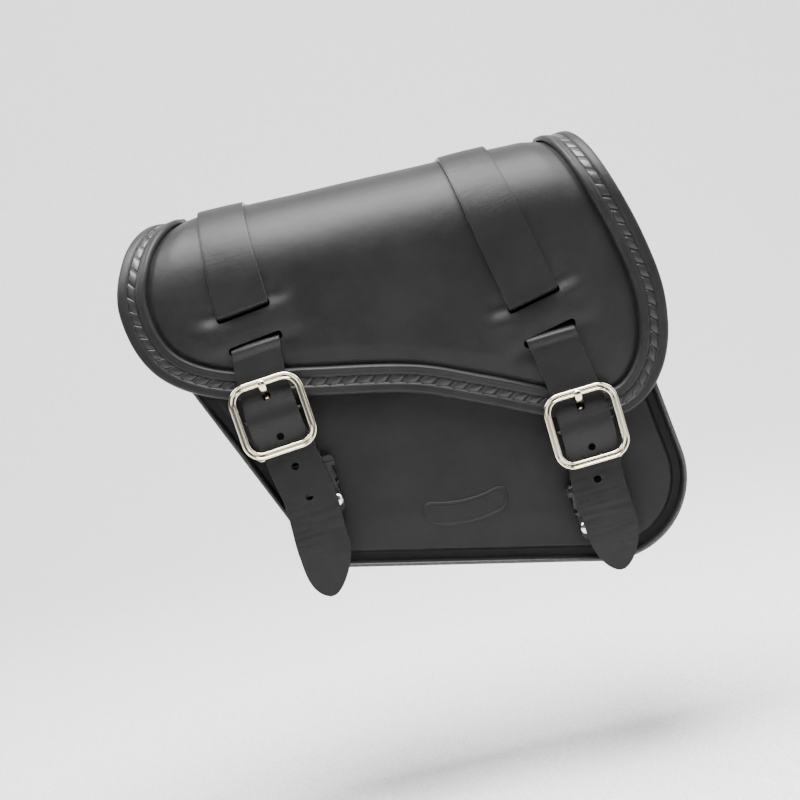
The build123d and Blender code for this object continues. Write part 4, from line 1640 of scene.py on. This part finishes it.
@dataclass
class Studio:
    """Pale sweep, soft lights and the camera."""

    roll: float = 13.0
    centre: Vector = field(default_factory=lambda: Vector((-9.6, 0, -146.5)) * MM)
    distance: float = 1.05
    elevation: float = 6.0
    span: float = 528 * MM

    def build(self, top: float, out: float) -> None:
        """Makes the sweep, the lights, the world and the camera."""
        self.sweep(top)
        self.lights()
        self.camera(top, out)

    def sweep(self, top: float) -> None:
        """A pale floor that curves up into a wall behind."""
        low, near, width, radius, floor, wall = top - 430 * MM, -2.0, 9.0, 0.8, 3.0, 3.5
        bend = radius * math.pi / 2

        def place(u: float, v: float) -> Vector:
            """A point of the sweep, from the front of the floor to the top of the wall."""
            x = (u - 0.5) * width
            s = v * (floor + bend + wall)
            if s < floor:
                return Vector((x, near + s, low))
            if s < floor + bend:
                turn = (s - floor) / radius
                out = near + floor + radius * math.sin(turn)
                return Vector((x, out, low + radius * (1 - math.cos(turn))))
            return Vector((x, near + floor + radius, low + radius + s - floor - bend))

        piece = sheet_on("studio_sweep", 4, 60, place)
        smooth(piece, 60)
        piece.data.materials.append(Moulded("studio_paper", 0.75, 0.9, 900.0, 0.0).build())

    def lights(self) -> None:
        """A large soft key above, a front fill, an edge light, lamps for the sweep and a dim world."""
        aim = Vector((0, -0.06, 0.02))
        for name, spot, target, size, power in (
            ("key", Vector((0.05, -0.30, 1.15)), aim, 1.0, 74.0),
            ("front_fill", Vector((-0.7, -1.9, 0.9)), aim, 1.0, 3.0),
            ("rear_edge", Vector((1.4, -0.5, 0.3)), aim, 0.7, 4.0),
            ("wall_left", Vector((-2.0, -0.2, 1.9)), Vector((-0.6, 1.9, 0.0)), 1.5, 85.0),
            ("wall_right", Vector((2.0, -0.2, 1.9)), Vector((0.6, 1.9, 0.0)), 1.5, 85.0),
            ("floor", Vector((0.0, -1.6, 2.4)), Vector((0.0, -0.4, -0.4)), 1.5, 5.0),
        ):
            data = bpy.data.lights.new(name, "AREA")
            data.shape, data.size, data.energy = "DISK", size, power
            lamp = bpy.data.objects.new(name, data)
            bpy.context.scene.collection.objects.link(lamp)
            lamp.location = spot
            lamp.visible_camera = False
            lamp.rotation_euler = (target - spot).to_track_quat("-Z", "Y").to_euler()
        world = bpy.data.worlds.new("studio")
        bpy.context.scene.world = world
        world.use_nodes = True
        world.node_tree.nodes["Background"].inputs["Color"].default_value = (0.92, 0.96, 1.0, 1.0)
        world.node_tree.nodes["Background"].inputs["Strength"].default_value = 0.09

    def camera(self, top: float, out: float) -> None:
        """The camera: square to the front, a little above, turned clockwise about its axis."""
        data = bpy.data.cameras.new("camera")
        camera = bpy.data.objects.new("camera", data)
        bpy.context.scene.collection.objects.link(camera)
        tilt = math.radians(self.elevation)
        target = Vector((self.centre.x, -out, top + self.centre.z))
        away = Vector((0, -math.cos(tilt), math.sin(tilt)))
        camera.location = target + away * self.distance
        level = away.to_track_quat("Z", "Y").to_matrix()
        camera.rotation_euler = (level @ Matrix.Rotation(-math.radians(self.roll), 3, "Z")).to_euler()
        data.sensor_width = 36.0
        data.lens = data.sensor_width * self.distance / self.span
        data.clip_start, data.clip_end = 0.05, 20.0
        bpy.context.scene.camera = camera


def main() -> None:
    """Builds the bag's looks in order."""
    logging.basicConfig(level=logging.INFO, format="%(message)s")
    finishes = Finishes()
    low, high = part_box("flap")
    roof = Roof(top=high.z, out=-low.y, start=high.z - 28.8 * MM)
    closures = [
        Closure("front", Vector((-96.5, 66, 0)) * MM, Vector((-93.4, 88.6, 0)) * MM, math.radians(2.0),
                127 * MM, 3, ((-127, -1.0), (-94, 3.6), (-61, 5.5), (-30, 2.8), (-10, 0))),
        Closure("rear", Vector((90.6, 101, 0)) * MM, Vector((96.2, 125.6, 0)) * MM, math.radians(13.0),
                100 * MM, 2, ((-100, -2.6), (-68, -1.6), (-40, -2.4), (-10, 0)), 16.2 * MM),
    ]
    shape = FlapShape(roof)
    Flap(shape, closures, finishes).build()
    for closure in closures:
        Strap(closure, roof, finishes).build()
        Buckle(closure, finishes).build()
    Body(closures, finishes, roof.top, -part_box("front_panel")[0].y).build()
    Fittings(finishes).build()
    Studio().build(roof.top, roof.out)


if __name__ == "__main__":
    main()
